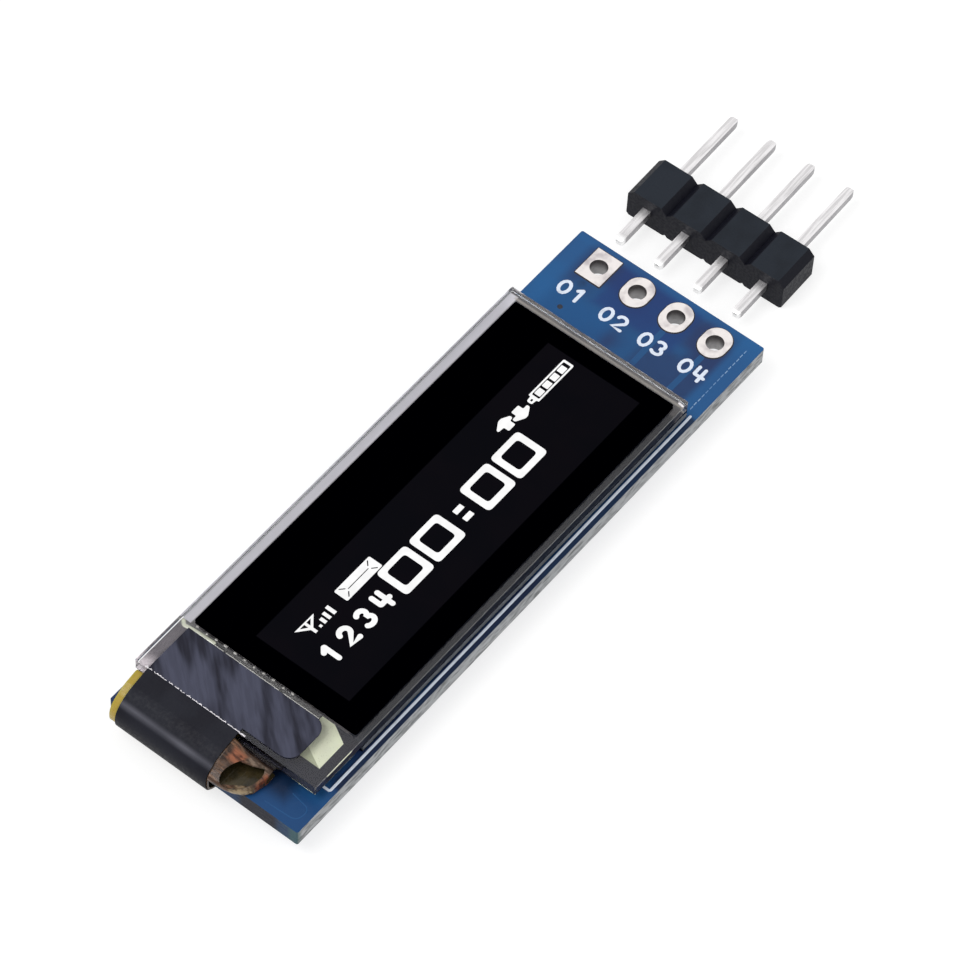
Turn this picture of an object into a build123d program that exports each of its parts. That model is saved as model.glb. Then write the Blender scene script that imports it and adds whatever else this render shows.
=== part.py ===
from build123d import *
import os

# Small graphic display module: a glass display panel taped to a narrow circuit board, with its
# flexible tail folded over the board's end and soldered behind, small parts on the back, and the
# loose four-pin header strip that comes with it lying beside the board on the same surface.
#
# Frame: millimetres. X runs along the board towards the pin holes, Y across it, Z out of the
# screen. The origin is the centre of the circuit board's back face.

# Circuit board: the panel lies on it, and a bare strip at its head holds the pin holes
head_strip_length = 6.1
board_width = 12.0
board_thickness = 1.1
board_corner_radius = 0.12

# Pin holes and their plated pads
pin_pitch = 2.54
pin_count = 4
pin_row_inset = 1.4
hole_diameter = 1.0
plating_thickness = 0.16
pad_rise = 0.05
pad_length = 2.05
pad_width = 1.6

# Display panel: front glass with its contact ledge, rear glass, seal, polarizer and tape
panel_end_inset = 1.9
panel_side_offset = 0.22
front_glass_length = 30.0
front_glass_width = 11.5
front_glass_thickness = 0.7
rear_glass_thickness = 0.55
glass_edge_chamfer = 0.05
seal_thickness = 0.03
seal_width = 0.8
seal_edge_margin = 0.12
pocket_depth = 0.3
pocket_corner_radius = 0.6
drying_sheet_end_gap = 2.25
drying_sheet_side_gap = 2.13
drying_sheet_thickness = 0.15
light_layer_head_margin = 1.95
light_layer_tail_margin = 1.2
light_layer_low_margin = 1.85
light_layer_high_margin = 3.75
light_layer_thickness = 0.04
polarizer_head_margin = 0.78
polarizer_tail_overhang = 0.13
polarizer_low_margin = 0.36
polarizer_high_margin = 0.84
polarizer_thickness = 0.2
polarizer_corner_radius = 0.12
tape_end_inset = 0.925
tape_side_inset = 0.95
tape_thickness = 0.1

# Driver chip under the ledge, the resin bead along the rear glass and the foam block beside it
chip_end_inset = 0.275
chip_width = 0.85
chip_thickness = 0.3
chip_edge_radius = 0.05
chip_from_bond = 1.2
chip_from_rear_glass = 0.5
resin_width = 0.3
resin_curve_radius = 0.48
foam_width = 1.75
foam_clearance = 0.05
foam_cut_length = 0.6
foam_cut_width = 0.95
foam_side_inset = 0.68

# Flexible tail: bonded under the ledge, arched out past the board's end and folded behind it
flex_thickness = 0.1
flex_side_inset = 0.42
bond_depth = 1.1
bond_far_inset = 2.33
bond_past_curl = 0.1
rise_clearance = 0.14
rise_radius = 0.16
rise_run = 0.3
crest_run = 1.5
crest_drop = 0.28
crest_radius = 1.8
fold_reach = 0.6
shoulder_height = 0.35
shoulder_radius = 1.2
base_radius = 0.88
back_leaf_length = 3.6
back_leaf_gap = 0.08

# Open curl on the tail's free side, with its oval window
curl_length = 2.35
curl_foot_gap = 0.02
curl_leaf_inset = 0.1
curl_shoulder_rise = 0.07
curl_fullness = 2.5
curl_rise_fading = 2.0
curl_stations = (0.0, 0.2, 0.4, 0.6, 0.8, 0.93, 1.0)
curl_tip_reach = (0.14, 0.28, 0.52, 0.84)
curl_tip_drop = (0.05, 0.02, 0.06, 0.33)
curl_radii = (0.12, 0.12, 0.5, 0.15, 0.12)
window_length = 2.3
window_width = 1.3
window_from_fold = 1.21
window_out = 1.25
window_height = 0.44
window_heading = -28.0
window_facing = (-0.47, -0.33, 0.82)
window_reach = 1.3

# Black cover film over the ledge and the fold
film_thickness = 0.06
film_gap = 0.02
film_side_inset = 0.85
film_far_inset = 1.75
film_fold_inset = 0.07
film_ledge_margin = 0.3
film_from_polarizer = 0.42
film_corner_radius = 0.75
film_edge_drop = 0.05
film_hem = 0.6

# Soldered joints of the tail on the back of the board
joint_count = 12
joint_pitch = 0.5
joint_width = 0.3
joint_length = 0.7
joint_height = 0.2
joint_curve_radius = 1.05

# Parts on the back of the board: sizes as length, width and height, and places as the distance
# from the pin row (or, for the large capacitors, from the board's tail end), Y and turn
chip_end_length = 0.3
chip_end_rise = 0.03
small_size = (1.6, 0.8, 0.8)
flat_size = (1.6, 0.8, 0.45)
large_size = (2.0, 1.25, 1.1)
capacitor_places = ((10.0, 3.6, 0), (10.0, -0.6, 0), (14.0, 3.6, 90), (14.0, -3.6, 90), (18.8, 3.4, 0))
large_capacitor_places = ((7.0, 3.6, 0), (7.0, -3.6, 0))
resistor_places = ((4.0, -3.6, 90), (5.8, -3.6, 90), (18.8, -3.4, 0), (22.2, 3.4, 90), (22.2, -3.4, 90))

# Three-lead regulator and two-lead diode on the back, placed from the pin row too
regulator_place = (6.2, 1.6)
regulator_length = 2.9
regulator_width = 1.3
regulator_height = 1.1
regulator_lift = 0.1
regulator_lead_pitch = 0.95
regulator_span = 2.4
regulator_lead_width = 0.4
diode_place = (10.0, -3.6)
diode_length = 1.7
diode_width = 1.25
diode_height = 0.95
diode_lift = 0.05
diode_span = 2.5
diode_lead_width = 0.32
lead_thickness = 0.13
lead_bend_radius = 0.09
lead_shoulder_share = 0.35
lead_heel_share = 0.45
body_draft = 7
mould_line = 0.45

# Loose pin header strip; the pin tips' steps are shares of their length and of the pin's width
housing_height = 2.1
housing_depth = 2.8
housing_chamfer = 0.38
housing_low_chamfer = 0.15
pin_width = 0.5
pin_long_end = 5.35
pin_short_end = 2.6
pin_tip_length = 0.4
pin_tip_steps = ((0.0, 1.0), (0.5, 0.92), (0.85, 0.68), (1.0, 0.4))
header_gap = 3.95
header_side_offset = 0.82
header_turn = 1.1
rest_level = -1.1

# Lengths and widths worked out from the pieces that meet
board_length = panel_end_inset + front_glass_length + head_strip_length
ledge_length = bond_depth + chip_from_bond + chip_width + chip_from_rear_glass
rear_glass_length = front_glass_length - ledge_length
polarizer_length = rear_glass_length - polarizer_head_margin + polarizer_tail_overhang
polarizer_width = front_glass_width - polarizer_low_margin - polarizer_high_margin
light_layer_length = rear_glass_length - light_layer_head_margin - light_layer_tail_margin
light_layer_width = front_glass_width - light_layer_low_margin - light_layer_high_margin
bond_width = front_glass_width - flex_side_inset - bond_far_inset
flex_width = bond_width - curl_length - bond_past_curl
film_ledge_width = front_glass_width - film_side_inset - film_far_inset

# Heights worked out from the stack
board_top = board_thickness
rear_glass_bottom = board_top + tape_thickness
rear_glass_top = rear_glass_bottom + rear_glass_thickness
ledge_underside = rear_glass_top + seal_thickness
ledge_top = ledge_underside + front_glass_thickness

# Places worked out along and across the board
board_end = -board_length / 2
pin_row_x = board_length / 2 - pin_row_inset
glass_end = board_end + panel_end_inset
glass_head = glass_end + front_glass_length
glass_low = panel_side_offset - front_glass_width / 2
glass_high = panel_side_offset + front_glass_width / 2
rear_glass_end = glass_head - rear_glass_length
rear_glass_x = (glass_head + rear_glass_end) / 2
film_high = glass_high - film_side_inset
flex_high = glass_high - flex_side_inset
flex_low = flex_high - flex_width
pin_offsets = [pin_pitch * ((pin_count - 1) / 2 - i) for i in range(pin_count)]

os.makedirs("parts", exist_ok=True)


def save(piece, name):
    """Label one finished piece and write it under the same name."""
    piece.label = name
    export_step(piece, f"parts/{name}.step")


# Circuit board with its four plated-through holes
plated_diameter = hole_diameter + 2 * plating_thickness
with BuildPart() as circuit_board:
    with BuildSketch():
        RectangleRounded(board_length, board_width, board_corner_radius)
        with Locations(*[(pin_row_x, y) for y in pin_offsets]):
            Circle(plated_diameter / 2, mode=Mode.SUBTRACT)
    extrude(amount=board_thickness)
save(circuit_board.part, "circuit_board")

# Plated eyelets: the first has a square pad, the others a long rounded one
for i, y in enumerate(pin_offsets):
    with BuildPart() as pin_pad:
        for level in (-pad_rise, board_top):
            with BuildSketch(Plane.XY.offset(level)):
                with Locations((pin_row_x, y)):
                    if i == 0:
                        Rectangle(pad_length, pad_width)
                    else:
                        SlotOverall(pad_length, pad_width)
            extrude(amount=pad_rise)
        with BuildSketch(Plane.XY.offset(-pad_rise)):
            with Locations((pin_row_x, y)):
                Circle(plated_diameter / 2)
        extrude(amount=board_thickness + 2 * pad_rise)
        with BuildSketch(Plane.XY.offset(-pad_rise)):
            with Locations((pin_row_x, y)):
                Circle(hole_diameter / 2)
        extrude(amount=board_thickness + 2 * pad_rise, mode=Mode.SUBTRACT)
    save(pin_pad.part, f"pin_pad_{i + 1}")

# Double-sided tape that holds the panel on the board
with BuildPart() as panel_tape:
    with BuildSketch(Plane.XY.offset(board_top)):
        with Locations((rear_glass_x, panel_side_offset)):
            Rectangle(rear_glass_length - 2 * tape_end_inset, front_glass_width - 2 * tape_side_inset)
    extrude(amount=tape_thickness)
save(panel_tape.part, "panel_tape")

# Rear glass, with the etched pocket that keeps the drying sheet clear of the light layer
seal_reach = seal_edge_margin + seal_width
with BuildPart() as rear_glass:
    with BuildSketch(Plane.XY.offset(rear_glass_bottom)):
        with Locations((rear_glass_x, panel_side_offset)):
            Rectangle(rear_glass_length, front_glass_width)
    extrude(amount=rear_glass_thickness)
    chamfer(rear_glass.edges().filter_by(Axis.Z), glass_edge_chamfer)
    with BuildSketch(Plane.XY.offset(rear_glass_top)):
        with Locations((rear_glass_x, panel_side_offset)):
            RectangleRounded(
                rear_glass_length - 2 * seal_reach,
                front_glass_width - 2 * seal_reach,
                pocket_corner_radius,
            )
    extrude(amount=-pocket_depth, mode=Mode.SUBTRACT)
save(rear_glass.part, "rear_glass")

# Resin seal that joins the two glasses round their edge
with BuildPart() as seal_frame:
    with BuildSketch(Plane.XY.offset(rear_glass_top)):
        with Locations((rear_glass_x, panel_side_offset)):
            Rectangle(
                rear_glass_length - 2 * seal_edge_margin,
                front_glass_width - 2 * seal_edge_margin,
            )
            RectangleRounded(
                rear_glass_length - 2 * seal_reach,
                front_glass_width - 2 * seal_reach,
                pocket_corner_radius,
                mode=Mode.SUBTRACT,
            )
    extrude(amount=seal_thickness)
save(seal_frame.part, "seal_frame")

# Drying sheet on the pocket's floor
with BuildPart() as drying_sheet:
    with BuildSketch(Plane.XY.offset(rear_glass_top - pocket_depth)):
        with Locations((rear_glass_x, panel_side_offset)):
            Rectangle(
                rear_glass_length - 2 * (seal_reach + drying_sheet_end_gap),
                front_glass_width - 2 * (seal_reach + drying_sheet_side_gap),
            )
    extrude(amount=drying_sheet_thickness)
save(drying_sheet.part, "drying_sheet")

# Front glass: as wide as the rear one, and longer by the contact ledge
with BuildPart() as front_glass:
    with BuildSketch(Plane.XY.offset(ledge_underside)):
        with Locations(((glass_end + glass_head) / 2, panel_side_offset)):
            Rectangle(front_glass_length, front_glass_width)
    extrude(amount=front_glass_thickness)
    chamfer(front_glass.edges().filter_by(Axis.Z), glass_edge_chamfer)
    chamfer(front_glass.faces().sort_by(Axis.Z)[-1].edges(), glass_edge_chamfer)
save(front_glass.part, "front_glass")

# Light-giving layer on the inner side of the front glass
light_layer_x = glass_head - light_layer_head_margin - light_layer_length / 2
light_layer_y = glass_low + light_layer_low_margin + light_layer_width / 2
with BuildPart() as light_layer:
    with BuildSketch(Plane.XY.offset(ledge_underside)):
        with Locations((light_layer_x, light_layer_y)):
            Rectangle(light_layer_length, light_layer_width)
    extrude(amount=-light_layer_thickness)
save(light_layer.part, "light_layer")

# Black polarizer on the front glass
polarizer_x = glass_head - polarizer_head_margin - polarizer_length / 2
polarizer_y = glass_low + polarizer_low_margin + polarizer_width / 2
with BuildPart() as polarizer:
    with BuildSketch(Plane.XY.offset(ledge_top)):
        with Locations((polarizer_x, polarizer_y)):
            RectangleRounded(polarizer_length, polarizer_width, polarizer_corner_radius)
    extrude(amount=polarizer_thickness)
save(polarizer.part, "polarizer")

# Driver chip bonded under the ledge
chip_x = rear_glass_end - chip_from_rear_glass - chip_width / 2
chip_y = flex_high - bond_width / 2
with BuildPart() as driver_chip:
    with BuildSketch(Plane.XY.offset(ledge_underside)):
        with Locations((chip_x, chip_y)):
            Rectangle(chip_width, bond_width - 2 * chip_end_inset)
    extrude(amount=-chip_thickness)
    fillet(driver_chip.faces().sort_by(Axis.Z)[0].edges(), chip_edge_radius)
save(driver_chip.part, "driver_chip")

# Foam block under the ledge's bare corner, one of its own corners cut off
foam_head = rear_glass_end - foam_clearance
foam_tail = glass_end + bond_depth + foam_clearance
foam_low = glass_low + foam_side_inset
foam_high = foam_low + foam_width
with BuildPart() as foam_block:
    with BuildSketch(Plane.XY.offset(board_top)):
        with BuildLine():
            Polyline(
                (foam_head, foam_low + foam_cut_width),
                (foam_head, foam_high),
                (foam_tail, foam_high),
                (foam_tail, foam_low),
                (foam_head - foam_cut_length, foam_low),
                close=True,
            )
        make_face()
    extrude(amount=ledge_underside - board_top)
save(foam_block.part, "foam_block")

# Clear resin bead in the corner between the ledge and the rear glass, up to the foam block
bead_high = glass_high - seal_edge_margin
with BuildPart() as edge_resin:
    with BuildSketch(Plane.XZ.offset(-bead_high)):
        with BuildLine():
            foot = Line((rear_glass_end, ledge_underside), (rear_glass_end - resin_width, ledge_underside))
            bead = RadiusArc(foot @ 1, (rear_glass_end, ledge_underside - resin_width), -resin_curve_radius)
            Line(bead @ 1, foot @ 0)
        make_face()
    extrude(amount=bead_high - foam_high - foam_clearance)
save(edge_resin.part, "edge_resin")

# Fold seen from the side, as the corners of the cover film's middle line
flex_inset = (film_thickness + flex_thickness) / 2 + film_gap
flex_middle = ledge_underside - flex_thickness / 2
back_leaf_middle = -(back_leaf_gap + flex_thickness / 2)
fold_side = board_end - fold_reach
fold_line = (
    (glass_end - film_edge_drop, ledge_top + film_thickness / 2),
    (glass_end - crest_run, ledge_top - crest_drop),
    (fold_side, board_top + shoulder_height),
    (fold_side, back_leaf_middle - flex_inset),
    (board_end + film_hem, back_leaf_middle - flex_inset),
)
fold_radii = (crest_radius, shoulder_radius, base_radius)


def parallel_line(corners, gap):
    """Corners of the line that runs inside a fold's line at a constant gap."""
    sides = []
    for a, b in zip(corners, corners[1:]):
        run = (Vector(*b) - Vector(*a)).normalized()
        step = Vector(-run.Y, run.X) * gap
        sides.append((Vector(*a) + step, run))
    result = [sides[0][0]]
    for (a, run_a), (b, run_b) in zip(sides, sides[1:]):
        reach = (b - a).cross(run_b).Z / run_a.cross(run_b).Z
        result.append(a + run_a * reach)
    result.append(Vector(*corners[-1]) + step)
    return result


# Flexible tail: bond strip, rise, fold and back leaf, then the tapering curl on its free side
inner = parallel_line(fold_line, flex_inset)
rise_foot = Vector(glass_end - rise_clearance, flex_middle)
rise_head = inner[0] + (inner[1] - inner[0]) * (rise_run / crest_run)
flex_corners = [
    (glass_end + bond_depth, flex_middle),
    rise_foot,
    rise_head,
    inner[1],
    inner[2],
    inner[3],
    (board_end + back_leaf_length, back_leaf_middle),
]
flex_radii = [rise_radius, rise_radius]
flex_radii += [radius - flex_inset for radius in fold_radii]
half_flex = flex_thickness / 2
foot_level = board_top + curl_foot_gap + half_flex
curl_full = [rise_foot, rise_head, inner[1], inner[2] + Vector(0, curl_shoulder_rise)]
curl_tip = [Vector(glass_end - x, ledge_underside - z) for x, z in zip(curl_tip_reach, curl_tip_drop)]
outer_radii = [curl_radii[0] - half_flex] + [radius + half_flex for radius in curl_radii[1:]]
inner_radii = [curl_radii[0] + half_flex] + [radius - half_flex for radius in curl_radii[1:]]
with BuildPart() as flex_tail:
    with BuildSketch(Plane.XZ.offset(-flex_high)):
        with BuildLine():
            FilletPolyline(*flex_corners, radius=flex_radii)
        trace(line_width=flex_thickness)
    extrude(amount=flex_width)
    with BuildSketch(Plane.XY.offset(ledge_underside)):
        with Locations((glass_end + bond_depth / 2, flex_high - bond_width / 2)):
            Rectangle(bond_depth, bond_width)
    extrude(amount=-flex_thickness)
    for station in curl_stations:
        spread = (1 - station**curl_fullness) ** (1 / curl_fullness)
        rise = (1 - station) ** curl_rise_fading
        curl = [
            Vector(tip.X + (full.X - tip.X) * spread, tip.Y + (full.Y - tip.Y) * rise)
            for full, tip in zip(curl_full, curl_tip)
        ]
        curl.insert(0, Vector(glass_end + rise_clearance, flex_middle))
        curl.append(Vector(curl[-1].X, foot_level))
        curl.append(Vector(glass_end - curl_leaf_inset, foot_level))
        with BuildSketch(Plane.XZ.offset(-(flex_low - curl_length * station))):
            with BuildLine():
                outer_line = FilletPolyline(*parallel_line(curl, -half_flex), radius=outer_radii)
                inner_line = FilletPolyline(*parallel_line(curl, half_flex), radius=inner_radii)
                Line(outer_line @ 0, inner_line @ 0)
                Line(outer_line @ 1, inner_line @ 1)
            make_face()
    loft(ruled=True)
    window_plane = Plane(
        origin=(glass_end - window_out, flex_low - window_from_fold, board_top + window_height),
        x_dir=Vector(1, 0, 0).rotate(Axis.Z, window_heading),
        z_dir=window_facing,
    )
    with BuildSketch(window_plane):
        Ellipse(window_length / 2, window_width / 2)
    extrude(amount=window_reach, mode=Mode.SUBTRACT)
save(flex_tail.part, "flex_tail")

# Black cover film: a sheet on the ledge that runs on over the glass edge and round the fold
film_front = polarizer_x - polarizer_length / 2 - film_from_polarizer
film_rear = glass_end + film_ledge_margin
film_low = film_high - film_ledge_width
with BuildPart() as cover_film:
    with BuildSketch(Plane.XY.offset(ledge_top)) as ledge_sheet:
        with Locations(((film_front + film_rear) / 2, (film_high + film_low) / 2)):
            Rectangle(film_front - film_rear, film_ledge_width)
        fillet(ledge_sheet.vertices().group_by(Axis.Y)[0], film_corner_radius)
    extrude(amount=film_thickness)
    with BuildSketch(Plane.XZ.offset(-film_high)):
        with BuildLine():
            FilletPolyline(
                (film_rear, ledge_top + film_thickness / 2),
                *fold_line,
                radius=[rise_radius, *fold_radii],
            )
        trace(line_width=film_thickness)
    extrude(amount=film_high - flex_low - film_fold_inset)
save(cover_film.part, "cover_film")

# Soldered joints between the tail's end and the back of the board
joint_x = board_end + back_leaf_length
joint_start = (flex_high + flex_low) / 2 + joint_pitch * (joint_count - 1) / 2
with BuildPart() as tail_joints:
    for i in range(joint_count):
        with BuildSketch(Plane.XZ.offset(-(joint_start - joint_pitch * i + joint_width / 2))):
            with BuildLine():
                base = Line((joint_x, 0), (joint_x + joint_length, 0))
                slope = RadiusArc(base @ 1, (joint_x, -joint_height), joint_curve_radius)
                Line(slope @ 1, base @ 0)
            make_face()
        extrude(amount=joint_width)
save(tail_joints.part, "tail_joints")


def back_plane(x, y, turn=0.0):
    """Plane on the back of the board, facing away from it, turned about its own normal."""
    return Plane(origin=(x, y, 0), x_dir=Vector(1, 0, 0).rotate(Axis.Z, turn), z_dir=(0, 0, -1))


def chip_part(x, y, turn, size):
    """One chip capacitor or resistor, with its two raised metal ends."""
    length, width, height = size
    with BuildPart() as chip:
        with BuildSketch(back_plane(x, y, turn).offset(chip_end_rise)):
            Rectangle(length - chip_end_length, width - 2 * chip_end_rise)
        extrude(amount=height - 2 * chip_end_rise)
        with BuildSketch(back_plane(x, y, turn)):
            with GridLocations(length - chip_end_length, 0, 2, 1):
                Rectangle(chip_end_length, width)
        extrude(amount=height)
    return chip.part


# Chip parts on the back
for i, (along, y, turn) in enumerate(capacitor_places):
    save(chip_part(pin_row_x - along, y, turn, small_size), f"capacitor_{i + 1}")
for i, (along, y, turn) in enumerate(large_capacitor_places):
    save(chip_part(board_end + along, y, turn, large_size), f"large_capacitor_{i + 1}")
for i, (along, y, turn) in enumerate(resistor_places):
    save(chip_part(pin_row_x - along, y, turn, flat_size), f"resistor_{i + 1}")


def moulded_body(place, length, width, height, lift):
    """Moulded package body, drafted both ways from its mould line, on its leads."""
    level = lift + (height - lift) * mould_line
    with BuildPart() as body:
        for rise in (height - level, lift - level):
            with BuildSketch(back_plane(pin_row_x - place[0], place[1]).offset(level)):
                Rectangle(width, length)
            extrude(amount=rise, taper=body_draft)
    return body.part


def gull_leads(place, offsets, half_width, half_span, level, lead_width):
    """Bent leads that leave the body's sides at its mould line and stand on the board."""
    shoulder = half_width + (half_span - half_width) * lead_shoulder_share
    heel = half_width + (half_span - half_width) * lead_heel_share
    foot = -lead_thickness / 2
    with BuildPart() as leads:
        for side, y in offsets:
            edge = (pin_row_x - place[0], place[1] + y + lead_width / 2, 0)
            with BuildSketch(Plane(origin=edge, x_dir=(side, 0, 0), z_dir=(0, -side, 0))):
                with BuildLine():
                    FilletPolyline(
                        (half_width, -level),
                        (shoulder, -level),
                        (heel, foot),
                        (half_span, foot),
                        radius=lead_bend_radius,
                    )
                trace(line_width=lead_thickness)
            extrude(amount=lead_width * side)
    return leads.part


# Voltage regulator and its three leads
regulator_level = regulator_lift + (regulator_height - regulator_lift) * mould_line
save(
    moulded_body(regulator_place, regulator_length, regulator_width, regulator_height, regulator_lift),
    "regulator_body",
)
regulator_offsets = ((1, 0), (-1, regulator_lead_pitch), (-1, -regulator_lead_pitch))
save(
    gull_leads(
        regulator_place,
        regulator_offsets,
        regulator_width / 2,
        regulator_span / 2,
        regulator_level,
        regulator_lead_width,
    ),
    "regulator_leads",
)

# Diode and its two leads
diode_level = diode_lift + (diode_height - diode_lift) * mould_line
save(moulded_body(diode_place, diode_width, diode_length, diode_height, diode_lift), "diode_body")
save(
    gull_leads(
        diode_place, ((1, 0), (-1, 0)), diode_length / 2, diode_span / 2, diode_level, diode_lead_width
    ),
    "diode_leads",
)

# Loose header strip, lying on its side at the level that the module stands on
header_x = board_length / 2 + header_gap + housing_depth / 2
header_middle = rest_level + housing_height / 2
header_plane = Plane(
    origin=(header_x, header_side_offset, header_middle),
    x_dir=Vector(0, -1, 0).rotate(Axis.Z, header_turn),
    z_dir=Vector(1, 0, 0).rotate(Axis.Z, header_turn),
)
housing_chamfers = (
    (-housing_height / 2, housing_chamfer),
    (housing_height / 2, housing_low_chamfer),
)
with BuildPart() as header_housing:
    with BuildSketch(header_plane.offset(-housing_depth / 2)) as housing_section:
        with GridLocations(pin_pitch, 0, pin_count, 1):
            Rectangle(pin_pitch, housing_height)
        chamfer_places = [pin_pitch * (i - pin_count / 2) for i in range(pin_count + 1)]
        for y, chamfer_size in housing_chamfers:
            with Locations(*[(x, y) for x in chamfer_places]):
                Rectangle(
                    2**0.5 * chamfer_size, 2**0.5 * chamfer_size, rotation=45, mode=Mode.SUBTRACT
                )
        with GridLocations(pin_pitch, 0, pin_count, 1):
            Rectangle(pin_width, pin_width, mode=Mode.SUBTRACT)
    extrude(amount=housing_depth)
save(header_housing.part, "header_housing")

# Square pins pressed through the housing, with tapered tips
pin_start = -housing_depth / 2 - pin_short_end
pin_stop = housing_depth / 2 + pin_long_end
pin_tips = ((pin_start + pin_tip_length, -1), (pin_stop - pin_tip_length, 1))
for i, offset in enumerate(pin_offsets):
    with BuildPart() as header_pin:
        with BuildSketch(header_plane.offset(pin_start + pin_tip_length)):
            with Locations((-offset, 0)):
                Rectangle(pin_width, pin_width)
        extrude(amount=pin_stop - pin_start - 2 * pin_tip_length)
        for root, heading in pin_tips:
            for out, share in pin_tip_steps:
                with BuildSketch(header_plane.offset(root + heading * out * pin_tip_length)):
                    with Locations((-offset, 0)):
                        Rectangle(pin_width * share, pin_width * share)
            loft(ruled=True)
    save(header_pin.part, f"header_pin_{i + 1}")
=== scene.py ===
import math

import bmesh
import bpy
from bpy.props import FloatProperty, FloatVectorProperty, IntProperty, PointerProperty
from mathutils import Matrix, Vector, noise


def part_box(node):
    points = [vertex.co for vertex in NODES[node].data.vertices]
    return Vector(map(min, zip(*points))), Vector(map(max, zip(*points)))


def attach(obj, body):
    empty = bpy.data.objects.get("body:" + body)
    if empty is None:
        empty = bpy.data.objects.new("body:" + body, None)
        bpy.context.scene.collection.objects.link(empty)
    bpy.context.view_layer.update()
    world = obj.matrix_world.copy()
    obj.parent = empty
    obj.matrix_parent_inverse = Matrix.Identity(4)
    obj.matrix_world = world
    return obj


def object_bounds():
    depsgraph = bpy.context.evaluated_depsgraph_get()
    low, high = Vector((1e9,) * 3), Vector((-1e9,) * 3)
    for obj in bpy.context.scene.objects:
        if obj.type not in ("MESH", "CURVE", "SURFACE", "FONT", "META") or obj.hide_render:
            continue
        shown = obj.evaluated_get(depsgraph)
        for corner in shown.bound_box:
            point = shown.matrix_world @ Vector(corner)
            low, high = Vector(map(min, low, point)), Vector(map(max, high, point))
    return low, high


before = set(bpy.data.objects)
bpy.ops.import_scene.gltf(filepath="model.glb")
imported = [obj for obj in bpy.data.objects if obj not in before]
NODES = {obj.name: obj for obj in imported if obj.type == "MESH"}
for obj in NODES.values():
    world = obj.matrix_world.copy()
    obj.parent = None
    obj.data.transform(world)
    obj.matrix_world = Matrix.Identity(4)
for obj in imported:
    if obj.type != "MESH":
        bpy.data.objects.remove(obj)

bl_info = {
    "name": "Small graphic display module",
    "version": (1, 0, 0),
    "blender": (4, 5, 0),
    "location": "View3D > Sidebar > Display module",
    "description": "Dresses the packed display module with its finishes, printing and solder",
    "category": "Object",
}

MM = 0.001
CAD_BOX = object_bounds()
BOARD_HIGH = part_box("circuit_board")[1]
POLARIZER_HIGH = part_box("polarizer")[1]
GLASS_LOW, GLASS_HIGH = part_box("front_glass")
REST_LEVEL = CAD_BOX[0].z

# Heights of painted areas and how far they reach up and down, in millimetres. The board's stop
# short of its back.
FACE_LEVEL, FACE_REACH = 1.1, 1.05
LAYER_LEVEL, LAYER_REACH = 1.78, 2.0


def screen(red, green, blue):
    """Linear colour that shows as this 8-bit screen colour."""
    shares = [level / 255 for level in (red, green, blue)]
    return tuple(s / 12.92 if s <= 0.04045 else ((s + 0.055) / 1.055) ** 2.4 for s in shares)


def colour_property(title, text, red, green, blue):
    """A colour that the user may change."""
    return FloatVectorProperty(
        name=title,
        description=text,
        default=screen(red, green, blue),
        size=3,
        min=0.0,
        max=1.0,
        subtype="COLOR",
    )


def length_property(title, text, millimetres):
    """A length that the user may change."""
    return FloatProperty(
        name=title, description=text, default=millimetres * MM, min=0.0, unit="LENGTH"
    )


class ModuleColours(bpy.types.PropertyGroup):
    """Colours of the module's finishes."""

    mask: colour_property("Mask over copper", "Solder mask where copper lies under it", 28, 76, 124)
    mask_bare: colour_property("Mask over laminate", "Solder mask between the tracks", 32, 52, 94)
    # Painted shade: the mask's colour where the glass's side darkens the board's rim. The random darker
    # patches use it too.
    mask_dark_and_shade: colour_property("Mask at the rim", "Solder mask along the board's rim", 18, 30, 54)
    pour: colour_property("Mask over the pour", "Solder mask over wide copper", 32, 90, 144)
    laminate: colour_property("Laminate", "Sawn edge of the board", 168, 170, 172)
    laminate_dark: colour_property("Laminate flecks", "Dark flecks in the sawn edge", 96, 98, 98)
    print_white: colour_property("Print", "White printing on the board", 222, 230, 244)
    tin: colour_property("Tin", "Tinned copper of the pin pads", 236, 230, 228)
    glow: colour_property("Lit dots", "Lit dots of the screen", 255, 255, 255)
    film: colour_property("Film", "Black cover film", 29, 30, 38)
    film_streak: colour_property("Film streaks", "Pale rubbed streaks of the film", 72, 74, 90)
    amber: colour_property("Flexible tail", "Amber film of the flexible tail", 158, 142, 46)
    copper: colour_property("Tail copper", "Copper tracks seen through the tail", 170, 100, 44)
    foam: colour_property("Foam", "Foam block under the ledge", 214, 218, 190)
    housing: colour_property("Header housing", "Black housing of the pin strip", 35, 40, 48)


class ModuleSizes(bpy.types.PropertyGroup):
    """Sizes of the printing, the screen's figures and the solder."""

    label_height: length_property("Number height", "Height of the pin numbers", 0.84)
    label_stroke: length_property("Number stroke", "Width of the pin numbers' strokes", 0.2)
    line_stroke: length_property("Outline stroke", "Width of the printed outline", 0.15)
    ink_height: length_property("Ink height", "How far the print stands proud", 0.012)
    glyph_height: length_property("Figure relief", "Thickness of the lit figures", 0.006)
    track_height: length_property("Track relief", "How far masked copper stands proud", 0.02)
    label_pitch: length_property("Digit pitch", "Distance between digits of a pin number", 0.9)
    bead_count: IntProperty(
        name="Resin drops", description="Bright drops along the resin bead", default=11, min=1
    )


# Material tools


def feed(tree, value, socket):
    """Link a socket, or set its own value."""
    if isinstance(value, bpy.types.NodeSocket):
        tree.links.new(value, socket)
    elif socket.type == "RGBA" and len(value) == 3:
        socket.default_value = (*value, 1.0)
    else:
        socket.default_value = value


def place(tree, kind, values=None, **settings):
    """Add a node with its settings and its inputs."""
    node = tree.nodes.new(kind)
    for name, value in settings.items():
        setattr(node, name, value)
    for key, value in (values or {}).items():
        feed(tree, value, node.inputs[key])
    return node


def use(tree, group, **values):
    """Place a shader node group and return its outputs."""
    inputs = {name.replace("_", " "): value for name, value in values.items()}
    return place(tree, "ShaderNodeGroup", inputs, node_tree=bpy.data.node_groups[group]).outputs


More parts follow.
